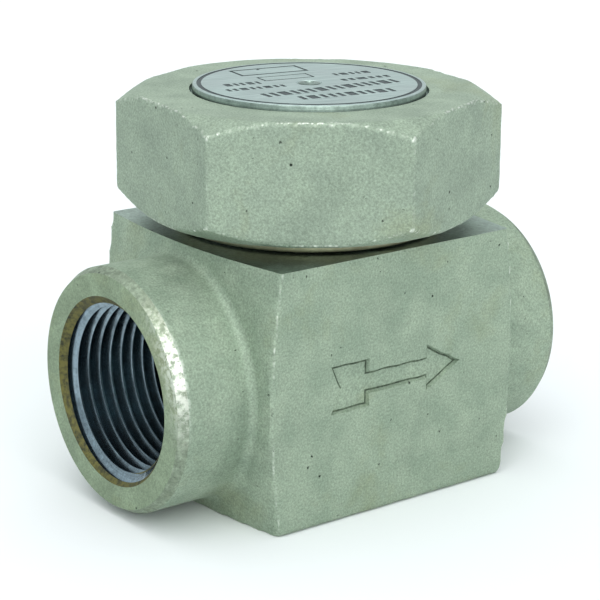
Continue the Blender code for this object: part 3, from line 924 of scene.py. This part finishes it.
@dataclass
class TrapBody:
    """The casting: a square block between two hubs, drilled, tapped and turned."""

    finishes: Finishes
    hub_x: float = 34.5
    axis_z: float = HUB_AXIS
    hub_radius: float = 17.5
    hub_chamfer: tuple[float, float] = (1.3, 0.8)  # along the axis, and in radius
    root_fillet: float = 1.1
    shoulder: tuple[float, float] = (19.0, 22.4)  # radius and distance where the shallow cone begins
    block_edge: tuple[float, float] = (27.5, 20.6)  # radius and distance where the cone meets the flat
    half_y: float = 20.7
    block_height: float = 37.8
    edge_round: float = 0.6
    edge_steps: int = 6
    fillet_steps: int = 8
    allowance: float = 0.8  # metal left on the casting where it is machined
    pitch: float = 25.4 / 14
    major_radius: float = 13.28
    thread_depth: float = 1.35
    taper: float = 1 / 32
    sink_radius: float = 13.5
    thread_length: float = 15.5
    port_depth: float = 16.0
    drill_slope: float = math.tan(math.radians(31))
    passage_radius: float = 3.4
    inlet_riser: float = 3.0
    outlet_riser: float = 1.8
    outlet_riser_x: float = 8.4
    outlet_ring: tuple[float, float, float] = (6.4, 10.4, 4.0)  # inner and outer radius, and depth
    neck_height: float = 10.2
    neck_buried: float = 3.0
    neck_pitch: float = 2.0
    neck_crest: float = 17.5
    neck_depth: float = 1.15
    neck_flat: float = 0.25
    neck_lead: float = 1.3
    pocket_radius: float = 13.2
    pocket_depth: float = 6.0
    # the painted highlight on the inlet hub's chamfer: where it peaks, how fast it fades, and how strong it is
    glint_middle: float = 25.0  # degrees above the hub's side, towards the arrow, where the painted highlight peaks
    glint_fade: float = 50.0  # degrees over which the painted highlight would lose its full strength
    glint_strength: float = 0.8

    def casting(self) -> bpy.types.Object:
        """Cast the outside: a shape turned about the hubs' axis, cut to the block's sides and softened."""
        slope = (self.block_edge[1] - self.shoulder[1]) / (self.block_edge[0] - self.shoulder[0])
        lean = math.atan(-slope)
        centre_radius = self.hub_radius + self.root_fillet
        touch_radius = centre_radius - self.root_fillet * math.sin(lean)
        touch_x = self.shoulder[1] + slope * (touch_radius - self.shoulder[0])
        centre_x = touch_x + self.root_fillet * math.cos(lean)
        outer = math.hypot(self.half_y, self.block_height) + GAP
        half = [(outer, self.block_edge[1]), self.block_edge]
        for step in range(self.fillet_steps + 1):
            angle = lean + (math.pi / 2 - lean) * step / self.fillet_steps
            radius = centre_radius - self.root_fillet * math.sin(angle)
            half.append((radius, centre_x - self.root_fillet * math.cos(angle)))
        half.append((self.hub_radius, self.hub_x + self.allowance))
        half.append((0.0, self.hub_x + self.allowance))
        mirrored = [(radius, -distance) for radius, distance in half]
        cast = Bench.lathe("body_casting", mirrored[::-1] + half, FINE_STEPS, [self.finishes.casting])
        Bench.lay_along_hubs(cast, Side.INLET, 0.0, self.axis_z)
        reach = self.hub_x + 2 * CLEAR
        top = self.block_height + self.allowance
        sides = Bench.box(
            "block sides", (-reach, -self.half_y, 0.0), (reach, self.half_y, top), self.finishes.casting,
        )
        Bench.round_edges(sides, self.stands_on, self.edge_round, self.edge_steps)
        Bench.cut(cast, sides, Cut.KEEP_COMMON)
        Bench.roughcast(cast, voxel=0.45, wave_size=5.0, wave_height=0.12)
        Bench.nick_edges(cast, low=0.12, high=0.3)
        return cast

    @staticmethod
    def stands_on(start: Vector, end: Vector) -> bool:
        """Tell whether an edge is one of the two long ones that the block stands on."""
        return max(abs(start.z), abs(end.z), abs(start.y - end.y)) < CLEAR * MM

    def mill_top(self, cast: bpy.types.Object) -> None:
        """Mill the block's top, and wind the threaded neck on it."""
        reach = self.hub_x + 2 * CLEAR
        top = self.block_height
        mill = Bench.box("mill", (-reach, -reach, top), (reach, reach, top + 5 * CLEAR), self.finishes.milled)
        Bench.cut(cast, mill)
        rod = Bench.thread(
            "neck thread", self.neck_pitch, self.neck_crest, self.neck_depth, self.neck_flat,
            self.neck_height + self.neck_buried, self.finishes.neck,
        )
        Bench.cut(cast, Bench.move(rod, z=top - self.neck_buried), Cut.ADD)
        neck_top = top + self.neck_height
        lead = Bench.lathe("neck lead-in", [
            (self.neck_crest - self.neck_lead, CLEAR),
            (self.neck_crest - self.neck_lead, 0.0),
            (self.neck_crest + CLEAR, -self.neck_lead - CLEAR),
            (self.neck_crest + CLEAR, CLEAR),
        ], FINE_STEPS, [self.finishes.neck])
        Bench.cut(cast, Bench.move(lead, z=neck_top))
        inner, outer, ring_depth = self.outlet_ring
        floor = neck_top - self.pocket_depth
        pocket = Bench.lathe("seat pocket", [
            (0.0, self.pocket_depth + CLEAR),
            (self.pocket_radius, self.pocket_depth + CLEAR),
            (self.pocket_radius, 0.0),
            (outer, 0.0),
            (outer, -ring_depth),
            (inner, -ring_depth),
            (inner, 0.0),
            (self.inlet_riser, 0.0),
            (self.inlet_riser, self.axis_z - floor),
            (0.0, self.axis_z - floor),
        ], FINE_STEPS, [self.finishes.turned])
        Bench.cut(cast, Bench.move(pocket, z=floor))

    def open_port(self, cast: bpy.types.Object, side: Side, passage_end: float) -> None:
        """Face one hub, and sink, drill and tap its port.

        Args:
            cast: the casting.
            side: the port's side.
            passage_end: how far past the middle its passage is drilled.
        """
        along, across = self.hub_chamfer
        rim = self.hub_radius
        far = 4 * CLEAR
        facing = Bench.lathe(f"{side.name} facing", [
            (0.0, -far),
            (rim + far, -far),
            (rim + far, 2 * along),
            (rim + across, 2 * along),
            (rim - across, 0.0),
            (0.0, 0.0),
        ], FINE_STEPS, [self.finishes.faced] * 3 + [self.finishes.chamfer] + [self.finishes.faced])
        mouth = -side.value * self.hub_x
        Bench.cut(cast, Bench.lay_along_hubs(facing, side, mouth, self.axis_z))

        minor = self.major_radius - self.thread_depth - GAP
        bottom = minor - self.taper * self.port_depth
        point = self.port_depth + (bottom - self.passage_radius) * self.drill_slope
        drill = Bench.lathe(f"{side.name} drill", [
            (0.0, -CLEAR),
            (self.sink_radius + CLEAR, -CLEAR),
            (minor, self.sink_radius - minor),
            (bottom, self.port_depth),
            (self.passage_radius, point),
            (self.passage_radius, self.hub_x + passage_end),
            (0.0, self.hub_x + passage_end),
        ], FINE_STEPS, [self.finishes.oiled] * 2 + [self.finishes.bore])
        Bench.cut(cast, Bench.lay_along_hubs(drill, side, mouth, self.axis_z))
        tap = Bench.thread(
            f"{side.name} tap", self.pitch, self.major_radius, self.thread_depth, self.pitch / 16,
            self.thread_length + CLEAR, self.finishes.thread, taper=self.taper,
        )
        Bench.cut(cast, Bench.lay_along_hubs(tap, side, mouth - side.value * CLEAR, self.axis_z))

    def paint_chamfer_glint(self, cast: bpy.types.Object) -> None:
        """Paint a highlight on one quarter of the inlet hub's chamfer, as a glint of the light, strongest a
        little above its side towards the arrow.
        """
        along, across = self.hub_chamfer
        slack = 0.1  # in radius, and twice that along the axis
        for vertex, wear in zip(cast.data.vertices, cast.data.attributes[WEAR_AND_GLINT].data):
            x, y, z = vertex.co / MM
            up = z - self.axis_z
            near_face = -x > self.hub_x - along - 2 * slack
            if near_face and math.hypot(y, up) > self.hub_radius - across - slack:
                away = abs(math.degrees(math.atan2(up, -y)) - self.glint_middle)
                # the glint is painted into the wear mask, so the chamfer's lighter colour shows there
                wear.value = max(wear.value, self.glint_strength - away / self.glint_fade)

    def build(self) -> None:
        """Cast, machine and hang the body."""
        cast = self.casting()
        wear = EdgeWear(cast, low=0.16, high=0.36)
        self.mill_top(cast)
        self.open_port(cast, Side.INLET, self.passage_radius)
        self.open_port(cast, Side.OUTLET, self.outlet_riser - self.outlet_riser_x)
        inner_ring_floor = self.block_height + self.neck_height - self.pocket_depth - self.outlet_ring[2]
        riser = Bench.lathe("outlet riser", [
            (0.0, self.axis_z),
            (self.outlet_riser, self.axis_z),
            (self.outlet_riser, inner_ring_floor + CLEAR),
            (0.0, inner_ring_floor + CLEAR),
        ], SMALL_STEPS, [self.finishes.bore])
        Bench.cut(cast, Bench.move(riser, x=self.outlet_riser_x))
        Bench.cut(cast, FlowArrow().tool(self.half_y, self.finishes))
        wear.mark(cast)
        self.paint_chamfer_glint(cast)
        Bench.finish(cast, "body", "trap_body", "body_casting")


@dataclass
class SeatAndDisc:
    """The turned seat on its two gaskets, and the free disc that lies on it."""

    finishes: Finishes
    bore: float = 3.0
    radius: float = 12.9
    thickness: float = 5.0
    groove: tuple[float, float, float] = (6.5, 9.0, 1.7)  # inner and outer radius, and depth
    hole_radius: float = 1.2
    hole_count: int = 3
    disc_radius: float = 11.3
    disc_thickness: float = 2.8
    disc_groove: tuple[float, float, float] = (5.0, 6.0, 0.4)
    edge: float = 0.3
    gaskets: dict[str, tuple[float, float]] = field(default_factory=lambda: {
        "seat_inner_gasket": (4.2, 6.0), "seat_outer_gasket": (10.8, 12.9),
    })
    gasket_thickness: float = 0.7

    def seat(self) -> None:
        """Turn the seat, with broken edges on its two lands, and drill its drain holes."""
        inner, outer, depth = self.groove
        top, floor = self.thickness, self.thickness - depth
        land_edge = self.edge / 3
        seat = Bench.lathe("seat_turned", [
            (self.bore, 0.0),
            (self.radius - self.edge, 0.0),
            (self.radius, self.edge),
            (self.radius, top - self.edge),
            (self.radius - self.edge, top),
            (outer + land_edge, top),
            (outer, top - land_edge),
            (outer, floor),
            (inner, floor),
            (inner, top - land_edge),
            (inner - land_edge, top),
            (self.bore + self.edge, top),
            (self.bore, top - self.edge),
        ], FINE_STEPS, [self.finishes.ground])
        for hole in range(self.hole_count):
            angle = math.tau * hole / self.hole_count
            drill = Bench.lathe("drill", [
                (0.0, -CLEAR),
                (self.hole_radius, -CLEAR),
                (self.hole_radius, floor + CLEAR),
                (0.0, floor + CLEAR),
            ], SMALL_STEPS, [self.finishes.turned])
            middle = (inner + outer) / 2
            Bench.cut(seat, Bench.move(drill, x=middle * math.cos(angle), y=middle * math.sin(angle)))
        Bench.move(seat, z=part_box("seat_insert")[0].z / MM)
        Bench.finish(seat, "seat_insert", "trap_body", "seat_steel")

    def seat_gaskets(self) -> None:
        """Cut the two flat rings that the seat is clamped on, each with its corners pressed round."""
        for node, (inner, outer) in self.gaskets.items():
            ring = pressed_ring(f"{node}_pressed", inner, outer, self.gasket_thickness, self.finishes.soft_iron)
            Bench.move(ring, z=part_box(node)[0].z / MM)
            Bench.finish(ring, node, "trap_body", "gasket")

    def disc(self) -> None:
        """Turn the disc, lapped below, with a shallow groove on its back."""
        inner, outer, depth = self.disc_groove
        top = self.disc_thickness
        disc = Bench.lathe("disc_lapped", [
            (0.0, 0.0),
            (self.disc_radius - self.edge, 0.0),
            (self.disc_radius, self.edge),
            (self.disc_radius, top - self.edge),
            (self.disc_radius - self.edge, top),
            (outer, top),
            (outer, top - depth),
            (inner, top - depth),
            (inner, top),
            (0.0, top),
        ], FINE_STEPS, [self.finishes.ground])
        Bench.move(disc, z=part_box("valve_disc")[0].z / MM)
        Bench.finish(disc, "valve_disc", "disc", "seat_steel")

    def build(self) -> None:
        """Make and hang all four pieces."""
        self.seat()
        self.seat_gaskets()
        self.disc()


def pressed_ring(
    name: str, inner: float, outer: float, thickness: float, finish: bpy.types.Material
) -> bpy.types.Object:
    """Turn a flat ring with rounded corners.

    Args:
        name: the object's name.
        inner: its inner radius.
        outer: its outer radius.
        thickness: its height.
        finish: its material.

    Returns:
        The ring, standing on z = 0.
    """
    corner = thickness * 0.18  # as a pressing tool rounds it
    middle = corner * ROUND_IN
    return Bench.lathe(name, [
        (inner + corner, 0.0),
        (outer - corner, 0.0),
        (outer - middle, middle),
        (outer, corner),
        (outer, thickness - corner),
        (outer - middle, thickness - middle),
        (outer - corner, thickness),
        (inner + corner, thickness),
        (inner + middle, thickness - middle),
        (inner, thickness - corner),
        (inner, corner),
        (inner + middle, middle),
    ], FINE_STEPS, [finish])


@dataclass
class ScrewCap:
    """The hexagonal cap, its gasket, and the nameplate riveted on it."""

    finishes: Finishes
    across_flats: float = 48.2
    corner_angle: float = math.radians(22.6)
    top_z: float = 57.3
    chamfer_slope: float = 0.62
    top_circle: float = 24.4
    washer_circle: float = 23.8
    corner_round: float = 0.2
    thread_pitch: float = 2.0
    thread_crest: float = 17.5
    thread_depth: float = 1.15
    thread_flat: float = 0.25
    extra_flat: float = 0.24
    thread_start_z: float = 34.8
    shoulder_z: float = 48.6
    chamber_radius: float = 12.0
    boss: tuple[float, float] = (4.0, 0.6)  # radius and height of the stop in the chamber's roof
    roof_z: float = 53.4
    plate_recess: float = 17.2
    plate_radius: float = 16.76
    plate_thickness: float = 1.2
    plate_edge: float = 0.25
    rivet_shank: float = 0.9
    rivet_head: tuple[float, float] = (1.6, 0.8)  # radius and depth
    rivet_length: float = 2.9
    rivet_crown: float = 0.1
    rivet_top: tuple[tuple[float, float], ...] = (  # shares of the head's radius and of the crown's height
        (1.0, 0.0), (0.8, 0.6), (0.55, 1.0), (0.45, 1.0), (0.35, -1.0), (0.0, -1.0),
    )
    gasket_radii: tuple[float, float] = (18.0, 19.2)
    gasket_thickness: float = 1.6

    def blank(self) -> bpy.types.Object:
        """Forge the outside: a hexagon with its corners turned off above and below, then softened."""
        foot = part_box("cap")[0].z / MM
        height = self.top_z - foot
        corner = self.across_flats / math.sqrt(3)
        bpy.ops.object.select_all(action="DESELECT")
        bpy.ops.mesh.primitive_cylinder_add(
            vertices=6, radius=corner * MM, depth=(height + 2 * CLEAR) * MM, location=(0, 0, height / 2 * MM),
        )
        cap = bpy.context.object
        cap.name = "cap_forging"
        first = math.atan2(cap.data.vertices[0].co.y, cap.data.vertices[0].co.x)
        cap.rotation_euler = (0.0, 0.0, self.corner_angle - first)
        cap.data.materials.append(self.finishes.forging)
        Bench.settle(cap)
        tall = height / 2 * MM
        Bench.round_edges(cap, lambda start, end: abs(start.z - end.z) > tall, self.corner_round, 3)
        rim = corner + CLEAR
        cones = Bench.lathe("chamfers", [
            (0.0, 0.0),
            (self.washer_circle, 0.0),
            (rim, (rim - self.washer_circle) * self.chamfer_slope),
            (rim, height - (rim - self.top_circle) * self.chamfer_slope),
            (self.top_circle, height),
            (0.0, height),
        ], FINE_STEPS, [self.finishes.forging])
        Bench.cut(cap, cones, Cut.KEEP_COMMON)
        Bench.move(cap, z=foot)
        Bench.roughcast(cap, voxel=0.4, wave_size=6.0, wave_height=0.1)
        Bench.nick_edges(cap, low=0.09, high=0.22)
        return cap

    def hollow(self, cap: bpy.types.Object) -> None:
        """Cut the cap's thread, chamber, plate recess and rivet hole."""
        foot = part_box("cap")[0].z / MM
        thread = Bench.thread(
            "cap thread", self.thread_pitch, self.thread_crest + GAP, self.thread_depth,
            self.thread_flat + self.extra_flat, self.shoulder_z - self.thread_start_z, self.finishes.neck,
            drop=self.extra_flat / 2,
        )
        Bench.cut(cap, Bench.move(thread, z=self.thread_start_z))
        mouth = self.thread_crest + 2 * GAP
        lead = Bench.lathe("cap lead-in", [
            (0.0, -CLEAR), (mouth + CLEAR, -CLEAR), (mouth - CLEAR, CLEAR), (0.0, CLEAR),
        ], FINE_STEPS, [self.finishes.turned])
        Bench.cut(cap, Bench.move(lead, z=foot))
        boss_radius, boss_height = self.boss
        chamber = Bench.lathe("chamber", [
            (0.0, self.shoulder_z - GAP),
            (self.chamber_radius, self.shoulder_z - GAP),
            (self.chamber_radius, self.roof_z + boss_height),
            (boss_radius, self.roof_z + boss_height),
            (boss_radius, self.roof_z),
            (0.0, self.roof_z),
        ], FINE_STEPS, [self.finishes.turned])
        Bench.cut(cap, chamber)
        plate_low, plate_high = (corner.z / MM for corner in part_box("nameplate"))
        rivet_hole = self.rivet_shank + GAP
        floor = plate_low - GAP
        recess = Bench.lathe("plate recess", [
            (0.0, plate_high - self.rivet_length - GAP),
            (rivet_hole, plate_high - self.rivet_length - GAP),
            (rivet_hole, floor),
            (self.plate_recess, floor),
            (self.plate_recess, self.top_z + 2 * CLEAR),
            (0.0, self.top_z + 2 * CLEAR),
        ], FINE_STEPS, [self.finishes.turned])
        Bench.cut(cap, recess)

    def body(self) -> None:
        """Forge and machine the cap, and hang it."""
        cap = self.blank()
        wear = EdgeWear(cap, low=0.1, high=0.24)
        self.hollow(cap)
        wear.mark(cap)
        Bench.finish(cap, "cap", "screw_cap", "cap_casting")

    def gasket(self) -> None:
        """Press the ring that lies between the block's top and the cap."""
        inner, outer = self.gasket_radii
        ring = pressed_ring("cap_gasket_pressed", inner, outer, self.gasket_thickness, self.finishes.soft_iron)
        Bench.move(ring, z=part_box("cap_gasket")[0].z / MM)
        Bench.finish(ring, "cap_gasket", "gasket_ring", "gasket")

    def plate(self) -> None:
        """Punch the round plate and sink its marks: a printed rim, a plain emblem, a box and rows of bars."""
        hole = self.rivet_shank + GAP
        mouth = self.rivet_head[0] + GAP
        top = self.plate_thickness
        plate = Bench.lathe("nameplate_brushed", [
            (hole, 0.0),
            (self.plate_radius, 0.0),
            (self.plate_radius, top - self.plate_edge),
            (self.plate_radius - self.plate_edge * ROUND_IN, top - self.plate_edge * ROUND_IN),
            (self.plate_radius - self.plate_edge, top),
            (mouth, top),
            (hole, top - self.rivet_head[1]),
        ], FINE_STEPS, [self.finishes.sheet] + [self.finishes.turned] * 2 + [self.finishes.sheet] * 4)
        marks = PlateMarks(self.finishes.ink_and_painted_shade, top)
        Bench.cut(plate, marks.rim())
        Bench.cut(plate, marks.bars())
        Bench.move(plate, z=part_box("nameplate")[0].z / MM)
        Bench.finish(plate, "nameplate", "screw_cap", "plate")

    def rivet(self) -> None:
        """Turn the countersunk rivet, with a low crown round the hollow that the setting punch left, and the
        hollow's floor painted dark as shade.
        """
        radius, depth = self.rivet_head
        length = self.rivet_length
        # the last stretch, the hollow's floor, takes the dark enamel as painted shade
        rivet = Bench.lathe("rivet_turned", [
            (0.0, 0.0),
            (self.rivet_shank, 0.0),
            (self.rivet_shank, length - depth),
            *((radius * across, length + self.rivet_crown * up) for across, up in self.rivet_top),
        ], SMALL_STEPS, [self.finishes.turned] * 7 + [self.finishes.ink_and_painted_shade])
        Bench.move(rivet, z=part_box("nameplate_rivet")[0].z / MM)
        Bench.finish(rivet, "nameplate_rivet", "screw_cap", "rivet")

    def build(self) -> None:
        """Make and hang all four pieces."""
        self.body()
        self.gasket()
        self.plate()
        self.rivet()


@dataclass(frozen=True)
class MarkRow:
    """One row of bars on the plate, from one end to the other of its middle line."""

    start: tuple[float, float]
    end: tuple[float, float]
    height: float
    widths: tuple[float, ...]  # of the bars, as shares of the row, with a gap after each
    gap: float


@dataclass(frozen=True)
class MarkFrame:
    """An empty rectangle on the plate."""

    centre: tuple[float, float]
    size: tuple[float, float]
    line: float


@dataclass
class PlateMarks:
    """The plate's sunk and painted marks. None of them is lettering."""

    ink_and_painted_shade: bpy.types.Material
    top: float
    depth: float = 0.06
    rim_radii: tuple[float, float] = (15.5, 16.15)
    tilt: float = math.radians(-10)
    rows: tuple[MarkRow, ...] = (
        MarkRow((-11.2, 5.1), (-5.8, 4.1), 1.7, (2, 1, 1, 2, 1), 0.5),
        MarkRow((-13.1, 1.9), (-4.2, 0.3), 1.5, (1, 1, 2, 1, 1, 2, 1, 1), 0.5),
        MarkRow((6.8, 2.9), (12.5, 1.8), 1.6, (1, 2, 1, 1, 2), 0.5),
        MarkRow((5.1, -1.1), (12.8, -2.4), 1.4, (1, 1, 2, 1, 1, 1), 0.5),
        MarkRow((-11.0, -4.0), (11.2, -5.9), 2.5, (1, 1, 2, 1, 1, 1, 2, 1, 1, 2, 1, 1, 1, 2, 1), 0.62),
        MarkRow((-8.0, -8.3), (6.5, -10.9), 2.3, (1, 2, 1, 1, 1, 2, 1, 1, 2, 1), 0.62),
    )
    frames: tuple[MarkFrame, ...] = (
        MarkFrame((-0.25, 5.3), (8.1, 3.0), 0.3), MarkFrame((0.8, 10.8), (11.0, 4.6), 0.45),
    )
    frame_gap: float = 0.01  # between a frame's short sides and its long ones
    dot: tuple[float, float, float] = (0.0, 12.4, 0.5)  # place and size of the first mark

    def rim(self) -> bpy.types.Object:
        """Turn the tool for the printed ring near the plate's edge."""
        inner, outer = self.rim_radii
        low, high = self.top - self.depth, self.top + CLEAR
        ring = [(inner, low), (outer, low), (outer, high), (inner, high)]
        return Bench.lathe("rim mark", ring, FINE_STEPS, [self.ink_and_painted_shade])

    def bar(self, x: float, y: float, width: float, height: float, angle: float) -> None:
        """Add one bar to the tool that is in edit mode."""
        tall = self.depth + CLEAR
        bpy.ops.mesh.primitive_cube_add(
            size=1.0, location=(x * MM, y * MM, (self.top - self.depth + tall / 2) * MM),
            rotation=(0.0, 0.0, angle), scale=(width * MM, height * MM, tall * MM),
        )

    def frame_bars(self, mark: MarkFrame) -> None:
        """Add the four sides of a tilted rectangle."""
        width, height = mark.size
        along = Vector((math.cos(self.tilt), math.sin(self.tilt)))
        up = Vector((-along.y, along.x))
        middle = Vector(mark.centre)
        short = height - 2 * mark.line - 2 * self.frame_gap
        for side in (-1, 1):
            self.bar(*(middle + up * side * (height - mark.line) / 2), width, mark.line, self.tilt)
            self.bar(*(middle + along * side * (width - mark.line) / 2), mark.line, short, self.tilt)

    def bars(self) -> bpy.types.Object:
        """Set out every bar of the plate as one tool."""
        bpy.ops.object.select_all(action="DESELECT")
        x, y, size = self.dot
        bpy.ops.mesh.primitive_cube_add(size=size * MM, location=(x * MM, y * MM, self.top * MM))
        tool = bpy.context.object
        tool.name = "plate marks"
        Bench.settle(tool)
        bpy.ops.object.mode_set(mode="EDIT")
        for row in self.rows:
            start, end = Vector(row.start), Vector(row.end)
            run = end - start
            angle = math.atan2(run.y, run.x)
            room = run.length - row.gap * (len(row.widths) - 1)
            place = 0.0
            for share in row.widths:
                width = room * share / sum(row.widths)
                middle = start + run.normalized() * (place + width / 2)
                self.bar(*middle, width, row.height, angle)
                place += width + row.gap
        for mark in self.frames:
            self.frame_bars(mark)
        Bench.weld()
        tool.data.materials.append(self.ink_and_painted_shade)
        return tool


@dataclass(frozen=True)
class Sun:
    """One wide sun: where it stands, in degrees, and its share of the key strength."""

    name: str
    azimuth: float
    elevation: float
    share: float


@dataclass(frozen=True)
class Studio:
    """The floor, the light and the camera."""

    floor_size: float = 12.0
    floor_colour: str = "#E0E3E4"
    world_colour: str = "#EEF6F8"
    world_strength: float = 0.8
    key_strength: float = 2.5
    spread: float = math.radians(70)
    suns: tuple[Sun, ...] = (
        Sun("key", -122.0, 44.0, 0.76), Sun("top", 60.0, 78.0, 0.3),
        Sun("front", -90.0, 12.0, 0.18), Sun("back", 140.0, 60.0, 0.1),
    )
    target_height: float = 30.116
    distance: float = 304.457
    azimuth: float = math.radians(-37.938)
    elevation: float = math.radians(15.956)
    roll: float = math.radians(0.582)
    lens: float = 124.385
    shift: tuple[float, float] = (-0.01228, -0.0491)

    def floor(self) -> None:
        """Lay the pale floor that the trap stands on."""
        bpy.ops.object.select_all(action="DESELECT")
        bpy.ops.mesh.primitive_plane_add(size=self.floor_size)
        floor = bpy.context.object
        floor.name = "studio_floor"
        material, shader = new_metal("paper, white and matt", 0.9, 0.0)
        shader.inputs["Base Color"].default_value = linear(self.floor_colour)
        shader.inputs["Specular IOR Level"].default_value = 0.1
        floor.data.materials.append(material)

    def light(self) -> None:
        """Hang four wide suns - key, top, front and back - in a pale sky."""
        world = bpy.data.worlds.new("studio sky")
        world.use_nodes = True
        sky = world.node_tree.nodes["Background"]
        sky.inputs["Color"].default_value = linear(self.world_colour)
        sky.inputs["Strength"].default_value = self.world_strength
        bpy.context.scene.world = world
        for sun in self.suns:
            lamp = bpy.data.lights.new(sun.name, "SUN")
            lamp.energy = self.key_strength * sun.share
            lamp.angle = self.spread
            holder = bpy.data.objects.new(sun.name, lamp)
            a, e = math.radians(sun.azimuth), math.radians(sun.elevation)
            towards = Vector((math.cos(a) * math.cos(e), math.sin(a) * math.cos(e), math.sin(e)))
            holder.rotation_euler = towards.to_track_quat("Z", "Y").to_euler()
            bpy.context.scene.collection.objects.link(holder)
        bpy.context.scene.view_settings.view_transform = "Standard"

    def camera(self) -> None:
        """Set up the camera on the side of the inlet and the flow arrow, a little above the trap."""
        a, e = self.azimuth, self.elevation
        right = Vector((math.cos(a), math.sin(a), 0.0))
        back = Vector((math.sin(a) * math.cos(e), -math.cos(a) * math.cos(e), math.sin(e)))
        up = back.cross(right)
        rolled_right = right * math.cos(self.roll) + up * math.sin(self.roll)
        rolled_up = up * math.cos(self.roll) - right * math.sin(self.roll)
        place = Vector((0.0, 0.0, self.target_height * MM)) + back * self.distance * MM
        lens = bpy.data.cameras.new("camera")
        lens.lens = self.lens
        lens.shift_x, lens.shift_y = self.shift
        lens.clip_start = 0.01
        camera = bpy.data.objects.new("camera", lens)
        turn = Matrix((rolled_right, rolled_up, back)).transposed()
        camera.matrix_world = Matrix.Translation(place) @ turn.to_4x4()
        bpy.context.scene.collection.objects.link(camera)
        bpy.context.scene.camera = camera

    def build(self) -> None:
        """Set up everything around the trap."""
        self.floor()
        self.light()
        self.camera()


def main() -> None:
    """Build the trap's pieces in order, then the studio."""
    logging.basicConfig(level=logging.INFO, format="%(name)s: %(message)s")
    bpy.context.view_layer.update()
    finishes = Finishes()
    builders: list[Callable[[], None]] = [
        TrapBody(finishes).build,
        SeatAndDisc(finishes).build,
        ScrewCap(finishes).build,
        Studio().build,
    ]
    for build in builders:
        build()


if __name__ == "__main__":
    main()
